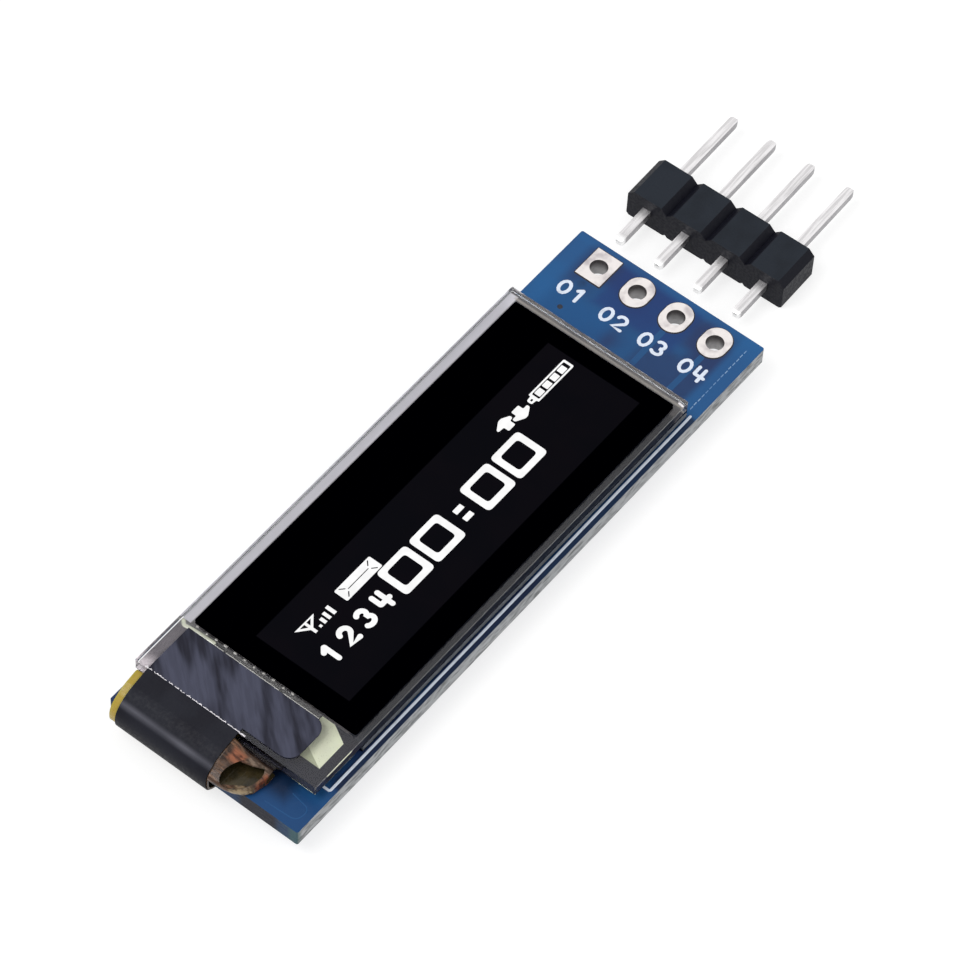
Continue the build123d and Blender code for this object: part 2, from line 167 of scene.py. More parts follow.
def tint(tree, share, first, second, blend="MIX"):
    """Mix two colours by a share."""
    mix = place(tree, "ShaderNodeMix", data_type="RGBA", blend_type=blend)
    feed(tree, share, mix.inputs[0])
    feed(tree, first, mix.inputs[6])
    feed(tree, second, mix.inputs[7])
    return mix.outputs[2]


def sums(tree, operation, first, second=0.0, clamp=False):
    """One sum of two numbers."""
    node = place(tree, "ShaderNodeMath", operation=operation, use_clamp=clamp)
    feed(tree, first, node.inputs[0])
    feed(tree, second, node.inputs[1])
    return node.outputs[0]


def vectors(tree, operation, first, second):
    """One sum of two vectors."""
    node = place(tree, "ShaderNodeVectorMath", operation=operation)
    feed(tree, first, node.inputs[0])
    feed(tree, second, node.inputs[1])
    return node.outputs["Value" if operation == "DOT_PRODUCT" else "Vector"]


def spread(tree, value, low, high, to_low=0.0, to_high=1.0):
    """Carry a value from one range to another, smoothly."""
    values = {"Value": value, "From Min": low, "From Max": high, "To Min": to_low, "To Max": to_high}
    return place(tree, "ShaderNodeMapRange", values, interpolation_type="SMOOTHSTEP").outputs[0]


def weighed(tree, first, first_share, second, second_share):
    """Two values, each by its own share, added up."""
    one = sums(tree, "MULTIPLY", first, first_share)
    return sums(tree, "ADD", one, sums(tree, "MULTIPLY", second, second_share))


def partly(tree, mask, share, first, second):
    """Mix two colours by a share of a mask."""
    return tint(tree, sums(tree, "MULTIPLY", mask, share), first, second)


def drifting(tree, first, second, scale, low=0.35, high=0.65, stretch=(1.0, 1.0, 1.0)):
    """Two colours that drift into each other."""
    return use(tree, "drift", First=first, Second=second, Scale=scale, Low=low, High=high, Stretch=stretch)


def grained(tree, scale, detail, smooth, coarse):
    """Fine grain between two roughnesses."""
    return use(tree, "grain", Scale=scale, Detail=detail, Smooth=smooth, Coarse=coarse)


def paint(tree, tone, shade, centre, half, softness, share=1.0):
    """Lay a shade over a tone inside one soft box. Lengths are in millimetres."""
    inside = use(tree, "area", Centre=centre, Half=half, Softness=softness)["Mask"]
    return partly(tree, inside, share, tone, shade)


def paint_flat(tree, tone, areas, level, reach):
    """Lay several shades over a tone, all at one height."""
    for (x, y), (half_x, half_y), softness, share, shade in areas:
        tone = paint(tree, tone, shade, (x, y, level), (half_x, half_y, reach), softness, share)
    return tone


def new_group(name, inputs, outputs):
    """A shader node group with named sockets."""
    tree = bpy.data.node_groups.new(name, "ShaderNodeTree")
    kinds = {"colour": "NodeSocketColor", "number": "NodeSocketFloat", "vector": "NodeSocketVector"}
    for title, kind, default in inputs:
        socket = tree.interface.new_socket(title, in_out="INPUT", socket_type=kinds[kind])
        socket.default_value = (*default, 1.0) if kind == "colour" else default
    for title, kind in outputs:
        tree.interface.new_socket(title, in_out="OUTPUT", socket_type=kinds[kind])
    return tree, tree.nodes.new("NodeGroupInput").outputs, tree.nodes.new("NodeGroupOutput").inputs


def millimetres(tree):
    """Place on the part, in millimetres."""
    spot = place(tree, "ShaderNodeTexCoord").outputs["Object"]
    return vectors(tree, "MULTIPLY", spot, (1 / MM, 1 / MM, 1 / MM))


def build_grain_group():
    """Fine uneven grain, with a roughness and a height."""
    inputs = [
        ("Scale", "number", 4.0),
        ("Detail", "number", 3.0),
        ("Smooth", "number", 0.3),
        ("Coarse", "number", 0.5),
    ]
    outputs = [("Roughness", "number"), ("Height", "number")]
    tree, given, result = new_group("grain", inputs, outputs)
    values = {"Vector": millimetres(tree), "Scale": given["Scale"], "Detail": given["Detail"]}
    cloud = place(tree, "ShaderNodeTexNoise", values).outputs[0]
    rough = spread(tree, cloud, 0.3, 0.7, given["Smooth"], given["Coarse"])
    feed(tree, rough, result["Roughness"])
    feed(tree, cloud, result["Height"])


def build_drift_group():
    """Two colours that drift into each other over the surface."""
    inputs = [
        ("First", "colour", (0.5, 0.5, 0.5)),
        ("Second", "colour", (0.4, 0.4, 0.4)),
        ("Scale", "number", 0.6),
        ("Low", "number", 0.35),
        ("High", "number", 0.65),
        ("Stretch", "vector", (1.0, 1.0, 1.0)),
    ]
    tree, given, result = new_group("drift", inputs, [("Color", "colour"), ("Mask", "number")])
    spot = vectors(tree, "MULTIPLY", millimetres(tree), given["Stretch"])
    values = {"Vector": spot, "Scale": given["Scale"], "Detail": 2.0}
    cloud = place(tree, "ShaderNodeTexNoise", values).outputs[0]
    mask = spread(tree, cloud, given["Low"], given["High"])
    feed(tree, tint(tree, mask, given["First"], given["Second"]), result["Color"])
    feed(tree, mask, result["Mask"])


def build_area_group():
    """A box on the part, 1 inside and 0 outside, with a soft rim."""
    inputs = [
        ("Centre", "vector", (0.0, 0.0, 0.0)),
        ("Half", "vector", (1.0, 1.0, 1.0)),
        ("Softness", "number", 0.05),
    ]
    tree, given, result = new_group("area", inputs, [("Mask", "number")])
    away = vectors(tree, "SUBTRACT", millimetres(tree), given["Centre"])
    size = place(tree, "ShaderNodeVectorMath", {0: away}, operation="ABSOLUTE").outputs["Vector"]
    room = vectors(tree, "SUBTRACT", given["Half"], size)
    parts = place(tree, "ShaderNodeSeparateXYZ", {0: room}).outputs
    least = sums(tree, "MINIMUM", sums(tree, "MINIMUM", parts[0], parts[1]), parts[2])
    feed(tree, spread(tree, least, 0.0, given["Softness"]), result["Mask"])


def build_facing_group():
    """1 where the surface faces sideways, 0 where it lies level."""
    tree, given, result = new_group("facing", [("Level", "number", 0.6)], [("Side", "number")])
    normal = place(tree, "ShaderNodeNewGeometry").outputs["True Normal"]
    lift = place(tree, "ShaderNodeSeparateXYZ", {0: normal}).outputs[2]
    flat = sums(tree, "GREATER_THAN", sums(tree, "ABSOLUTE", lift), given["Level"])
    feed(tree, sums(tree, "SUBTRACT", 1.0, flat), result["Side"])


def build_streak_group():
    """Long soft streaks across the surface, turned by an angle about the upright."""
    inputs = [
        ("Turn", "number", 0.0),
        ("Pitch", "number", 1.0),
        ("Stretch", "number", 0.1),
        ("Wander", "number", 0.0),
    ]
    tree, given, result = new_group("streaks", inputs, [("Value", "number"), ("Height", "number")])
    axis = place(
        tree,
        "ShaderNodeVectorRotate",
        {"Vector": millimetres(tree), "Angle": given["Turn"]},
        rotation_type="Z_AXIS",
    ).outputs[0]
    combine = place(tree, "ShaderNodeCombineXYZ")
    feed(tree, given["Stretch"], combine.inputs[0])
    feed(tree, 1.0, combine.inputs[1])
    feed(tree, given["Stretch"], combine.inputs[2])
    spot = vectors(tree, "MULTIPLY", axis, combine.outputs[0])
    values = {
        "Vector": spot,
        "Scale": given["Pitch"],
        "Detail": 2.0,
        "Distortion": given["Wander"],
    }
    cloud = place(tree, "ShaderNodeTexNoise", values).outputs[0]
    feed(tree, spread(tree, cloud, 0.38, 0.62), result["Value"])
    feed(tree, cloud, result["Height"])


def build_fleck_group():
    """Small scattered flecks."""
    inputs = [
        ("Scale", "number", 3.0),
        ("Size", "number", 0.25),
        ("Stretch", "vector", (1.0, 1.0, 1.0)),
    ]
    tree, given, result = new_group("flecks", inputs, [("Mask", "number")])
    spot = vectors(tree, "MULTIPLY", millimetres(tree), given["Stretch"])
    cells = place(tree, "ShaderNodeTexVoronoi", {"Vector": spot, "Scale": given["Scale"]})
    near = sums(tree, "DIVIDE", cells.outputs["Distance"], given["Size"])
    feed(tree, spread(tree, near, 0.6, 1.0, 1.0, 0.0), result["Mask"])


def build_inward_group():
    """1 where a rolled sheet faces the middle of its roll, 0 on its outer face."""
    inputs = [("Centre", "vector", (0.0, 0.0, 0.0))]
    tree, given, result = new_group("inward", inputs, [("Mask", "number")])
    away = vectors(tree, "SUBTRACT", millimetres(tree), given["Centre"])
    across = vectors(tree, "MULTIPLY", away, (1.0, 0.0, 1.0))
    normal = place(tree, "ShaderNodeNewGeometry").outputs["True Normal"]
    lean = vectors(tree, "DOT_PRODUCT", across, normal)
    feed(tree, spread(tree, lean, -0.1, 0.05, 1.0, 0.0), result["Mask"])


def build_groups():
    """Every shader node group that the finishes share."""
    build_grain_group()
    build_drift_group()
    build_area_group()
    build_facing_group()
    build_streak_group()
    build_fleck_group()
    build_inward_group()


def new_finish(name, **uniform):
    """A material with its tree and shader, and uniform values on the shader's own sockets."""
    material = bpy.data.materials.new(name)
    material.use_nodes = True
    tree = material.node_tree
    shader = tree.nodes["Principled BSDF"]
    for title, value in uniform.items():
        shader.inputs[title.replace("_", " ")].default_value = value
    return material, tree, shader


def dress(tree, shader, colour, roughness, height=None, depth=0.005):
    """Feed a shader its colour, roughness and relief. The depth is in millimetres."""
    feed(tree, colour, shader.inputs["Base Color"])
    feed(tree, roughness, shader.inputs["Roughness"])
    if height is not None:
        bump = place(tree, "ShaderNodeBump", {"Height": height, "Distance": depth * MM})
        feed(tree, bump.outputs["Normal"], shader.inputs["Normal"])


def coat(names, material):
    """Give CAD nodes a finish."""
    for name in names:
        slots = NODES[name].data.materials
        slots.clear()
        slots.append(material)


# Mesh tools


def keep_piece(name, mesh, material):
    """Make a mesh one piece that rides on the part."""
    piece = bpy.data.objects.new(name, mesh)
    bpy.context.scene.collection.objects.link(piece)
    mesh.materials.append(material)
    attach(piece, "root")
    return piece


def finish_mesh(name, form, smooth=False):
    """Turn a bmesh into a mesh."""
    bmesh.ops.recalc_face_normals(form, faces=form.faces)
    mesh = bpy.data.meshes.new(name)
    form.to_mesh(mesh)
    form.free()
    for face in mesh.polygons:
        face.use_smooth = smooth
    return mesh


def keep_form(name, form, material, smooth=False):
    """Make a bmesh one piece that rides on the part."""
    keep_piece(name, finish_mesh(name, form, smooth), material)


def metres(points):
    """Flat or solid points in metres, from millimetres."""
    return [Vector(p) * MM for p in points]


def eased(points, radius, closed=False, steps=5):
    """Round the corners of a line. The radius is in the points' own unit."""
    result = []
    count = len(points)
    for index, point in enumerate(points):
        if not closed and index in (0, count - 1):
            result.append(Vector(point))
            continue
        here = Vector(point)
        back = Vector(points[index - 1]) - here
        ahead = Vector(points[(index + 1) % count]) - here
        reach = min(radius, back.length * 0.48, ahead.length * 0.48)
        start = here + back.normalized() * reach
        end = here + ahead.normalized() * reach
        for step in range(steps + 1):
            share = step / steps
            first = start.lerp(here, share)
            second = here.lerp(end, share)
            result.append(first.lerp(second, share))
    return result


def arc(centre, width, height, start, end, steps=14):
    """Points of an elliptical arc, with angles in degrees."""
    points = []
    for step in range(steps + 1):
        angle = math.radians(start + (end - start) * step / steps)
        points.append(Vector((centre[0] + width * math.cos(angle), centre[1] + height * math.sin(angle))))
    return points


def ink_stroke(form, points, width, base, height, closed=False):
    """Add one crowned stroke with round ends along a flat line. Lengths are in metres."""
    line = [Vector(p) for p in points]
    clean = [line[0]]
    for point in line[1:]:
        if (point - clean[-1]).length > width * 0.02:
            clean.append(point)
    line = clean
    if closed and (line[0] - line[-1]).length < width * 0.02:
        line.pop()
    count = len(line)
    stations = []
    for index, point in enumerate(line):
        before = line[index - 1] if closed or index else line[0]
        after = line[(index + 1) % count] if closed or index < count - 1 else line[-1]
        along = (after - before).normalized()
        stations.append((point, Vector((-along.y, along.x)), width / 2))
    if not closed:
        caps = (0.97, 0.85, 0.6, 0.25)
        for at_start in (True, False):
            point, side, half = stations[0] if at_start else stations[-1]
            outward = Vector((side.y, -side.x)) * (-1 if at_start else 1)
            for share in caps:
                far = point + outward * half * math.sqrt(1 - share * share)
                entry = (far, side, half * share)
                if at_start:
                    stations.insert(0, entry)
                else:
                    stations.append(entry)
    profile = ((-1.0, 0.0), (-0.86, 0.72), (0.0, 1.0), (0.86, 0.72), (1.0, 0.0))
    rings = []
    for point, side, half in stations:
        ring = []
        for across, lift in profile:
            flat = point + side * half * across
            ring.append(form.verts.new((flat.x, flat.y, base + height * lift)))
        rings.append(ring)
    pairs = list(zip(rings, rings[1:]))
    if closed:
        pairs.append((rings[-1], rings[0]))
    for first, second in pairs:
        for index in range(4):
            form.faces.new((first[index], first[index + 1], second[index + 1], second[index]))
        form.faces.new((first[4], first[0], second[0], second[4]))
    if not closed:
        form.faces.new(rings[0])
        form.faces.new(rings[-1])


def plate_mesh(name, loops, base, thickness):
    """A flat plate from outlines in millimetres on the part. Inner outlines are its openings."""
    curve = bpy.data.curves.new(name + "_outline", "CURVE")
    curve.dimensions = "2D"
    curve.fill_mode = "BOTH"
    curve.extrude = thickness * 0.5 / MM
    for loop in loops:
        spline = curve.splines.new("POLY")
        spline.points.add(len(loop) - 1)
        for point, spot in zip(spline.points, loop):
            point.co = (spot[0], spot[1], 0.0, 1.0)
        spline.use_cyclic_u = True
    holder = bpy.data.objects.new(name + "_outline", curve)
    bpy.context.scene.collection.objects.link(holder)
    bpy.context.view_layer.update()
    mesh = bpy.data.meshes.new_from_object(holder.evaluated_get(bpy.context.evaluated_depsgraph_get()))
    bpy.data.objects.remove(holder)
    bpy.data.curves.remove(curve)
    mesh.name = name
    mesh.materials.clear()
    mesh.transform(Matrix.Translation((0, 0, base + thickness / 2)) @ Matrix.Scale(MM, 4))
    return mesh


def rounded_box(low, high, radius):
    """Outline of a rectangle with round corners."""
    corners = [(low[0], low[1]), (high[0], low[1]), (high[0], high[1]), (low[0], high[1])]
    return eased(corners, radius, closed=True)


# Strokes of the plain numbers, each drawn in a box 1 high
DIGITS = {
    "0": [arc((0.36, 0.5), 0.34, 0.5, 90, 450)],
    "1": [[(0.14, 0.76), (0.42, 1.0), (0.42, 0.0)]],
    "2": [[*arc((0.35, 0.71), 0.32, 0.29, 165, -32), (0.03, 0.0), (0.7, 0.0)]],
    "3": [[*arc((0.33, 0.75), 0.29, 0.25, 145, -80), *arc((0.33, 0.26), 0.34, 0.26, 80, -145)]],
    "4": [[(0.06, 1.0), (0.06, 0.38), (0.74, 0.38)], [(0.52, 1.0), (0.52, 0.0)]],
}


def write_number(form, text, start, along, height, stroke, pitch, base, ink):
    """Add a number's strokes. It starts at one end of its foot line and runs along a flat direction."""
    run = Vector(along).normalized()
    rise = Vector((-run.y, run.x))
    for number, digit in enumerate(text):
        strokes = DIGITS[digit]
        origin = Vector(start) + run * (pitch * number)
        for order, points in enumerate(strokes):
            flat = eased(points, 0.05) if len(points) < 6 else points
            path = [origin + run * (p[0] * height) + rise * (p[1] * height) for p in flat]
            closed = len(points) > 6 and (Vector(points[0]) - Vector(points[-1])).length < 0.01
            ink_stroke(form, path, stroke, base, ink + order * 0.0006 * MM, closed)


# Finishes


def grain_over(tree, shader, colour, settings, depth=None):
    """Feed a shader its colour and one grain, in relief where it has a depth."""
    grain = grained(tree, *settings)
    dress(tree, shader, colour, grain["Roughness"], grain["Height"] if depth else None, depth)


def plain_finish(name, first, second, drift, grain, depth=None, **uniform):
    """Two drifting colours under one grain."""
    material, tree, shader = new_finish(name, **uniform)
    grain_over(tree, shader, drifting(tree, first, second, *drift)["Color"], grain, depth)
    return material


def matt_finish(name, first, second, scale=0.8, smooth=0.5, coarse=0.75, depth=0.01):
    """A plain matt finish with drifting colour and fine grain."""
    return plain_finish(name, first, second, (scale, 0.35, 0.7), (7.0, 4.0, smooth, coarse), depth)


def mask_finish(colours):
    """Blue solder mask over the board's faces, sawn laminate on its edges."""
    material, tree, shader = new_finish("board_mask", Specular_IOR_Level=0.22)
    base = drifting(tree, colours.mask_bare, colours.mask, 0.22, 0.4, 0.6)["Color"]
    cloud = drifting(tree, base, colours.mask_dark_and_shade, 0.9, 0.6, 0.95)["Color"]
    areas = (
        ((14.0, 3.4), (1.8, 3.0), 1.0, 0.8, screen(24, 78, 130)),
        ((14.3, -2.9), (1.9, 2.4), 0.9, 0.8, screen(32, 55, 96)),
        ((17.2, 0.2), (1.9, 2.9), 0.7, 0.7, screen(24, 52, 108)),
        ((16.0, 5.5), (3.4, 1.1), 0.9, 0.7, colours.pour),
        ((16.0, -5.45), (3.6, 0.9), 0.5, 0.7, colours.pour),
        ((18.95, 0.0), (0.7, 6.4), 0.6, 0.5, colours.pour),
        ((-18.3, -4.6), (1.6, 2.2), 0.7, 0.9, screen(24, 64, 110)),
        # Painted shade: the strip along the rim under the glass's side, and the dark patch beside the tail's
        # curl and ledge.
        ((-1.4, -6.0), (14.6, 0.62), 0.3, 0.85, colours.mask_dark_and_shade),
        ((-17.0, -2.6), (1.5, 2.2), 1.0, 0.85, screen(8, 26, 52)),
    )
    faces = paint_flat(tree, cloud, areas, FACE_LEVEL, FACE_REACH)
    flecks = use(tree, "flecks", Scale=2.6, Size=0.5, Stretch=(0.5, 0.5, 1.6))["Mask"]
    weave = drifting(tree, colours.laminate, colours.laminate_dark, 1.6, 0.45, 0.8, (0.7, 0.7, 3.0))
    sawn = partly(tree, flecks, 0.5, weave["Color"], colours.laminate_dark)
    # The sawn end at the tail is darker and bluer than the other edges.
    tail_end_tone = drifting(tree, screen(26, 52, 84), screen(34, 62, 84), 0.8)["Color"]
    sawn = paint(tree, sawn, tail_end_tone, (-19.0, 0.0, 0.5), (0.1, 6.0, 0.8), 0.04, 0.95)
    # Painted shadow of the tail's curl on the sawn end.
    sawn = paint(tree, sawn, screen(38, 33, 34), (-19.0, -3.5, 0.5), (0.6, 1.5, 1.2), 0.6, 0.85)
    sawn = paint(tree, sawn, screen(70, 100, 98), (-19.0, -6.0, 0.5), (0.4, 0.7, 1.0), 0.35, 0.6)
    side = use(tree, "facing", Level=0.5)["Side"]
    grain = grained(tree, 9.0, 4.0, 0.3, 0.46)
    rough = sums(tree, "ADD", grain["Roughness"], sums(tree, "MULTIPLY", side, 0.35), clamp=True)
    height = weighed(tree, grain["Height"], 0.25, side, weave["Mask"])
    dress(tree, shader, tint(tree, side, faces, sawn), rough, height, 0.02)
    return material


def track_finish(colours):
    """Solder mask over copper: lighter and a little smoother than over bare laminate."""
    return plain_finish("masked_copper", colours.mask, colours.mask_bare, (0.7, 0.5, 0.9),
                        (7.0, 3.0, 0.28, 0.42), 0.004, Specular_IOR_Level=0.25)


def ink_finish(colours):
    """Matt white screen print."""
    worn = tuple(c * 0.72 for c in colours.print_white)
    return plain_finish("print_ink", colours.print_white, worn, (2.5, 0.5, 0.85),
                        (12.0, 3.0, 0.5, 0.7), 0.004, Specular_IOR_Level=0.3)


def tin_finish(colours, name):
    """Dipped tin, slightly uneven and warm."""
    return plain_finish(name, colours.tin, screen(172, 168, 168), (1.4, 0.45, 0.85),
                        (5.0, 4.0, 0.28, 0.5), 0.02, Metallic=0.85)


def resin_finish(name, tone):
    """Clear cured resin."""
    return plain_finish(name, tone, tuple(c * 0.8 for c in tone), (2.5,), (3.0, 3.0, 0.08, 0.25), 0.03,
                        Specular_IOR_Level=0.7, Coat_Weight=0.6)


def pad_finish(colours):
    """Dipped tin: pale on the pads' flats, with painted shade on their rims and down the plated holes."""
    material, tree, shader = new_finish("pad_tin", Metallic=0.5)
    flat = drifting(tree, colours.tin, screen(186, 178, 180), 1.3, 0.42, 0.8)["Color"]
    # Painted shade down the plated holes and on the pads' rims: dark at the top, lighter towards the holes'
    # lower ends.
    depth = place(tree, "ShaderNodeSeparateXYZ", {0: millimetres(tree)}).outputs[2]
    shaded_wall = tint(tree, spread(tree, depth, 1.0, 0.2), screen(66, 60, 62), screen(176, 174, 174))
    colour = tint(tree, use(tree, "facing", Level=0.5)["Side"], flat, shaded_wall)
    grain_over(tree, shader, colour, (4.0, 4.0, 0.34, 0.55), 0.02)
    return material


def glass_finish(name, tone):
    """Thin clear glass that lets the lamps' light through to what lies behind it."""
    material, tree, shader = new_finish(
        name, Metallic=0.0, Transmission_Weight=1.0, IOR=1.5, Specular_IOR_Level=0.05
    )
    bright = tuple(min(1.0, c * 1.02) for c in tone)
    grain_over(tree, shader, drifting(tree, tone, bright, 0.4)["Color"], (0.8, 2.0, 0.0, 0.05))
    shadow = place(tree, "ShaderNodeLightPath").outputs["Is Shadow Ray"]
    feed(tree, spread(tree, shadow, 0.0, 1.0, 1.0, 0.12), shader.inputs["Alpha"])
    return material


def conductor_finish():
    """Conductors on the ledge, too fine to tell apart: violet-grey, with a painted highlight along the far
    long side, brightest at the corner.
    """
    material, tree, shader = new_finish("ledge_conductors", Specular_IOR_Level=0.1)
    tone = drifting(tree, screen(36, 34, 42), screen(30, 30, 40), 0.7)["Color"]
    areas = (
        # Painted highlight along the glass's far long side, brightest at the ledge's corner.
        ((-15.3, 5.9), (2.2, 1.0), 0.6, 0.75, screen(112, 106, 112)),
        ((-17.2, 5.7), (1.3, 0.9), 1.0, 1.0, screen(204, 194, 200)),
    )
    colour = paint_flat(tree, tone, areas, LAYER_LEVEL, LAYER_REACH)
    grain_over(tree, shader, colour, (5.0, 3.0, 0.25, 0.4))
    return material


def seal_finish():
    """Seal seen through the glass: smooth grey, with a painted highlight along one long side and painted
    shade along the other.
    """
    material, tree, shader = new_finish("seal_behind_glass", Specular_IOR_Level=0.1)
    tone = drifting(tree, screen(98, 94, 94), screen(82, 80, 84), 0.6)["Color"]
    areas = (
        # Painted shade along the near long side, painted highlight along the far long side, and a pale line
        # at the end by the pins.
        ((-2.0, -5.3), (14.0, 0.75), 0.25, 0.85, screen(32, 36, 46)),
        ((-0.5, 5.8), (13.3, 0.42), 0.1, 0.9, screen(198, 196, 204)),
        ((12.62, 0.0), (0.12, 5.6), 0.1, 0.7, screen(160, 154, 146)),
    )
    colour = paint_flat(tree, tone, areas, LAYER_LEVEL, LAYER_REACH)
    grain_over(tree, shader, colour, (5.0, 3.0, 0.4, 0.6))
    return material


def foam_finish(name, colours):
    """Fine cream foam with small pores."""
    material, tree, shader = new_finish(name, Specular_IOR_Level=0.2)
    cream = drifting(tree, colours.foam, screen(206, 208, 184), 0.7, 0.4, 0.7)["Color"]
    pores = use(tree, "flecks", Scale=7.0, Size=0.3)["Mask"]
    colour = partly(tree, pores, 0.12, cream, screen(150, 152, 130))
    grain = grained(tree, 8.0, 4.0, 0.8, 0.95)
    dress(tree, shader, colour, grain["Roughness"], sums(tree, "SUBTRACT", grain["Height"], pores), 0.01)
    return material


def polarizer_finish():
    """Black polarizer, a shade paler where the dots lie behind it."""
    material, tree, shader = new_finish("polarizer_black", Specular_IOR_Level=0.0)
    pale = drifting(tree, screen(24, 24, 30), screen(27, 25, 31), 0.3)["Color"]
    colour = paint(tree, screen(0, 0, 1), pale, (-0.62, -0.77, 2.68), (11.74, 3.0, 0.05), 0.12)
    grain_over(tree, shader, colour, (3.0, 3.0, 0.22, 0.34), 0.002)
    return material


def glow_finish(colours):
    """Lit dots."""
    material, tree, shader = new_finish("lit_dots", Specular_IOR_Level=0.0, Emission_Strength=1.0)
    soft = tuple(c * 0.93 for c in colours.glow)
    feed(tree, drifting(tree, colours.glow, soft, 2.0)["Color"], shader.inputs["Emission Color"])
    grain_over(tree, shader, screen(30, 30, 30), (3.0, 3.0, 0.3, 0.5))
    return material


def film_finish(colours):
    """Black cover film, rubbed into pale slanting streaks on the ledge, smooth round the fold, with painted
    shade low on the fold and a painted highlight along it.
    """
    material, tree, shader = new_finish("cover_film_black", Specular_IOR_Level=0.1)
    slant = math.radians(-49)
    streaks = use(tree, "streaks", Turn=slant, Pitch=1.25, Stretch=0.2, Wander=0.2)
    fine = use(tree, "streaks", Turn=slant, Pitch=5.0, Stretch=0.12, Wander=0.1)
    share = weighed(tree, streaks["Value"], 0.8, fine["Value"], 0.2)
    rubbed = tint(tree, share, screen(34, 34, 44), colours.film_streak)
    tone = drifting(tree, colours.film, screen(22, 22, 30), 0.5)["Color"]
    # Painted shade on the lower side of the fold.
    tone = paint(tree, tone, screen(12, 12, 17), (-19.4, 0.7, 0.1), (1.6, 5.6, 1.2), 0.9, 0.6)
    uneven = grained(tree, 0.28, 1.0, 0.25, 0.75)["Roughness"]
    # Painted highlight along the fold, broken up by the uneven grain.
    tone = paint(tree, tone, screen(112, 112, 122), (-19.38, 0.7, 1.9), (0.5, 5.2, 0.3), 0.3, uneven)
    ledge = use(tree, "area", Centre=(-15.4, 0.7, 2.54), Half=(1.75, 4.6, 0.2), Softness=0.18)["Mask"]
    grain = grained(tree, 6.0, 4.0, 0.38, 0.55)
    height = weighed(tree, streaks["Height"], ledge, grain["Height"], 0.3)
    dress(tree, shader, tint(tree, ledge, tone, rubbed), grain["Roughness"], height, 0.02)
    return material


def tail_finish(colours):
    """Amber flexible tail: faint copper tracks, a brown curl with painted highlights and shade, and a dark
    olive inner face.
    """
    material, tree, shader = new_finish("tail_amber", Specular_IOR_Level=0.25, Coat_Weight=0.12)
    along = vectors(tree, "MULTIPLY", millimetres(tree), (0.0, 1.0, 0.0))
    bands = place(tree, "ShaderNodeTexWave", {"Vector": along, "Scale": 0.62, "Distortion": 0.0},
                  bands_direction="Y").outputs[0]
    tracks = spread(tree, bands, 0.45, 0.6)
    amber = drifting(tree, colours.amber, screen(170, 150, 56), 0.9)["Color"]
    striped = partly(tree, tracks, 0.14, amber, colours.copper)
    tone = drifting(tree, screen(116, 84, 60), screen(66, 48, 38), 1.5, stretch=(1.8, 0.5, 1.8))["Color"]
    white = (1.0, 1.0, 1.0)
    streaks = drifting(tree, white, screen(150, 138, 128), 3.2, 0.4, 0.6, (1.8, 0.35, 1.8))["Color"]
    # Patches on the curl: its tan and orange rims are partly the film's layers and partly painted highlight.
    # The last patch is painted shade next to the glass's end.
    patches = (
        ((-18.0, -1.35, 2.0), (0.5, 0.5, 0.5), screen(142, 86, 60)),
        ((-17.6, -2.5, 1.9), (0.35, 0.85, 0.6), screen(116, 98, 84)),
        ((-18.1, -3.1, 1.45), (0.55, 0.26, 0.5), screen(146, 76, 44)),
        ((-19.2, -2.6, 1.35), (0.7, 0.75, 0.35), screen(150, 132, 102)),
        ((-17.0, -1.5, 1.8), (0.55, 2.0, 0.9), screen(42, 36, 38)),
    )
    for centre, half, shade in patches:
        tone = paint(tree, tone, shade, centre, half, 0.3)
    tone = tint(tree, 1.0, tone, streaks, blend="MULTIPLY")
    outer = paint(tree, striped, tone, (-18.4, -2.2, 1.4), (2.0, 1.6, 1.6), 0.1)
    # Inner face: dark olive, partly the amber over the dark board and partly painted shade inside the roll.
    inner = drifting(tree, screen(40, 36, 22), screen(62, 54, 32), 1.2)["Color"]
    colour = tint(tree, use(tree, "inward", Centre=(-18.4, 0.0, 1.3))["Mask"], outer, inner)
    grain = grained(tree, 5.0, 3.0, 0.2, 0.4)
    height = weighed(tree, tracks, 0.8, grain["Height"], 1.0)
    dress(tree, shader, colour, grain["Roughness"], height, 0.01)
    return material


def chip_finish(name, low, high, body, body_dark, end_share):
    """A chip part: ceramic body and tinned ends."""
    material, tree, shader = new_finish(name)
    size = high - low
    long_axis = 0 if size.x > size.y else 1
    half = [size.x * 0.6 / MM, size.y * 0.6 / MM, size.z / MM]
    half[long_axis] = size[long_axis] * (0.5 - end_share) / MM
    centre = tuple((low + high) / 2 / MM)
    middle = use(tree, "area", Centre=centre, Half=tuple(half), Softness=0.02)["Mask"]
    ceramic = drifting(tree, body, body_dark, 3.0)["Color"]
    tin = drifting(tree, screen(206, 204, 200), screen(160, 158, 156), 3.0)["Color"]
    metal = sums(tree, "MULTIPLY", sums(tree, "SUBTRACT", 1.0, middle), 0.85)
    feed(tree, metal, shader.inputs["Metallic"])
    grain_over(tree, shader, tint(tree, middle, tin, ceramic), (10.0, 4.0, 0.35, 0.6), 0.012)
    return material


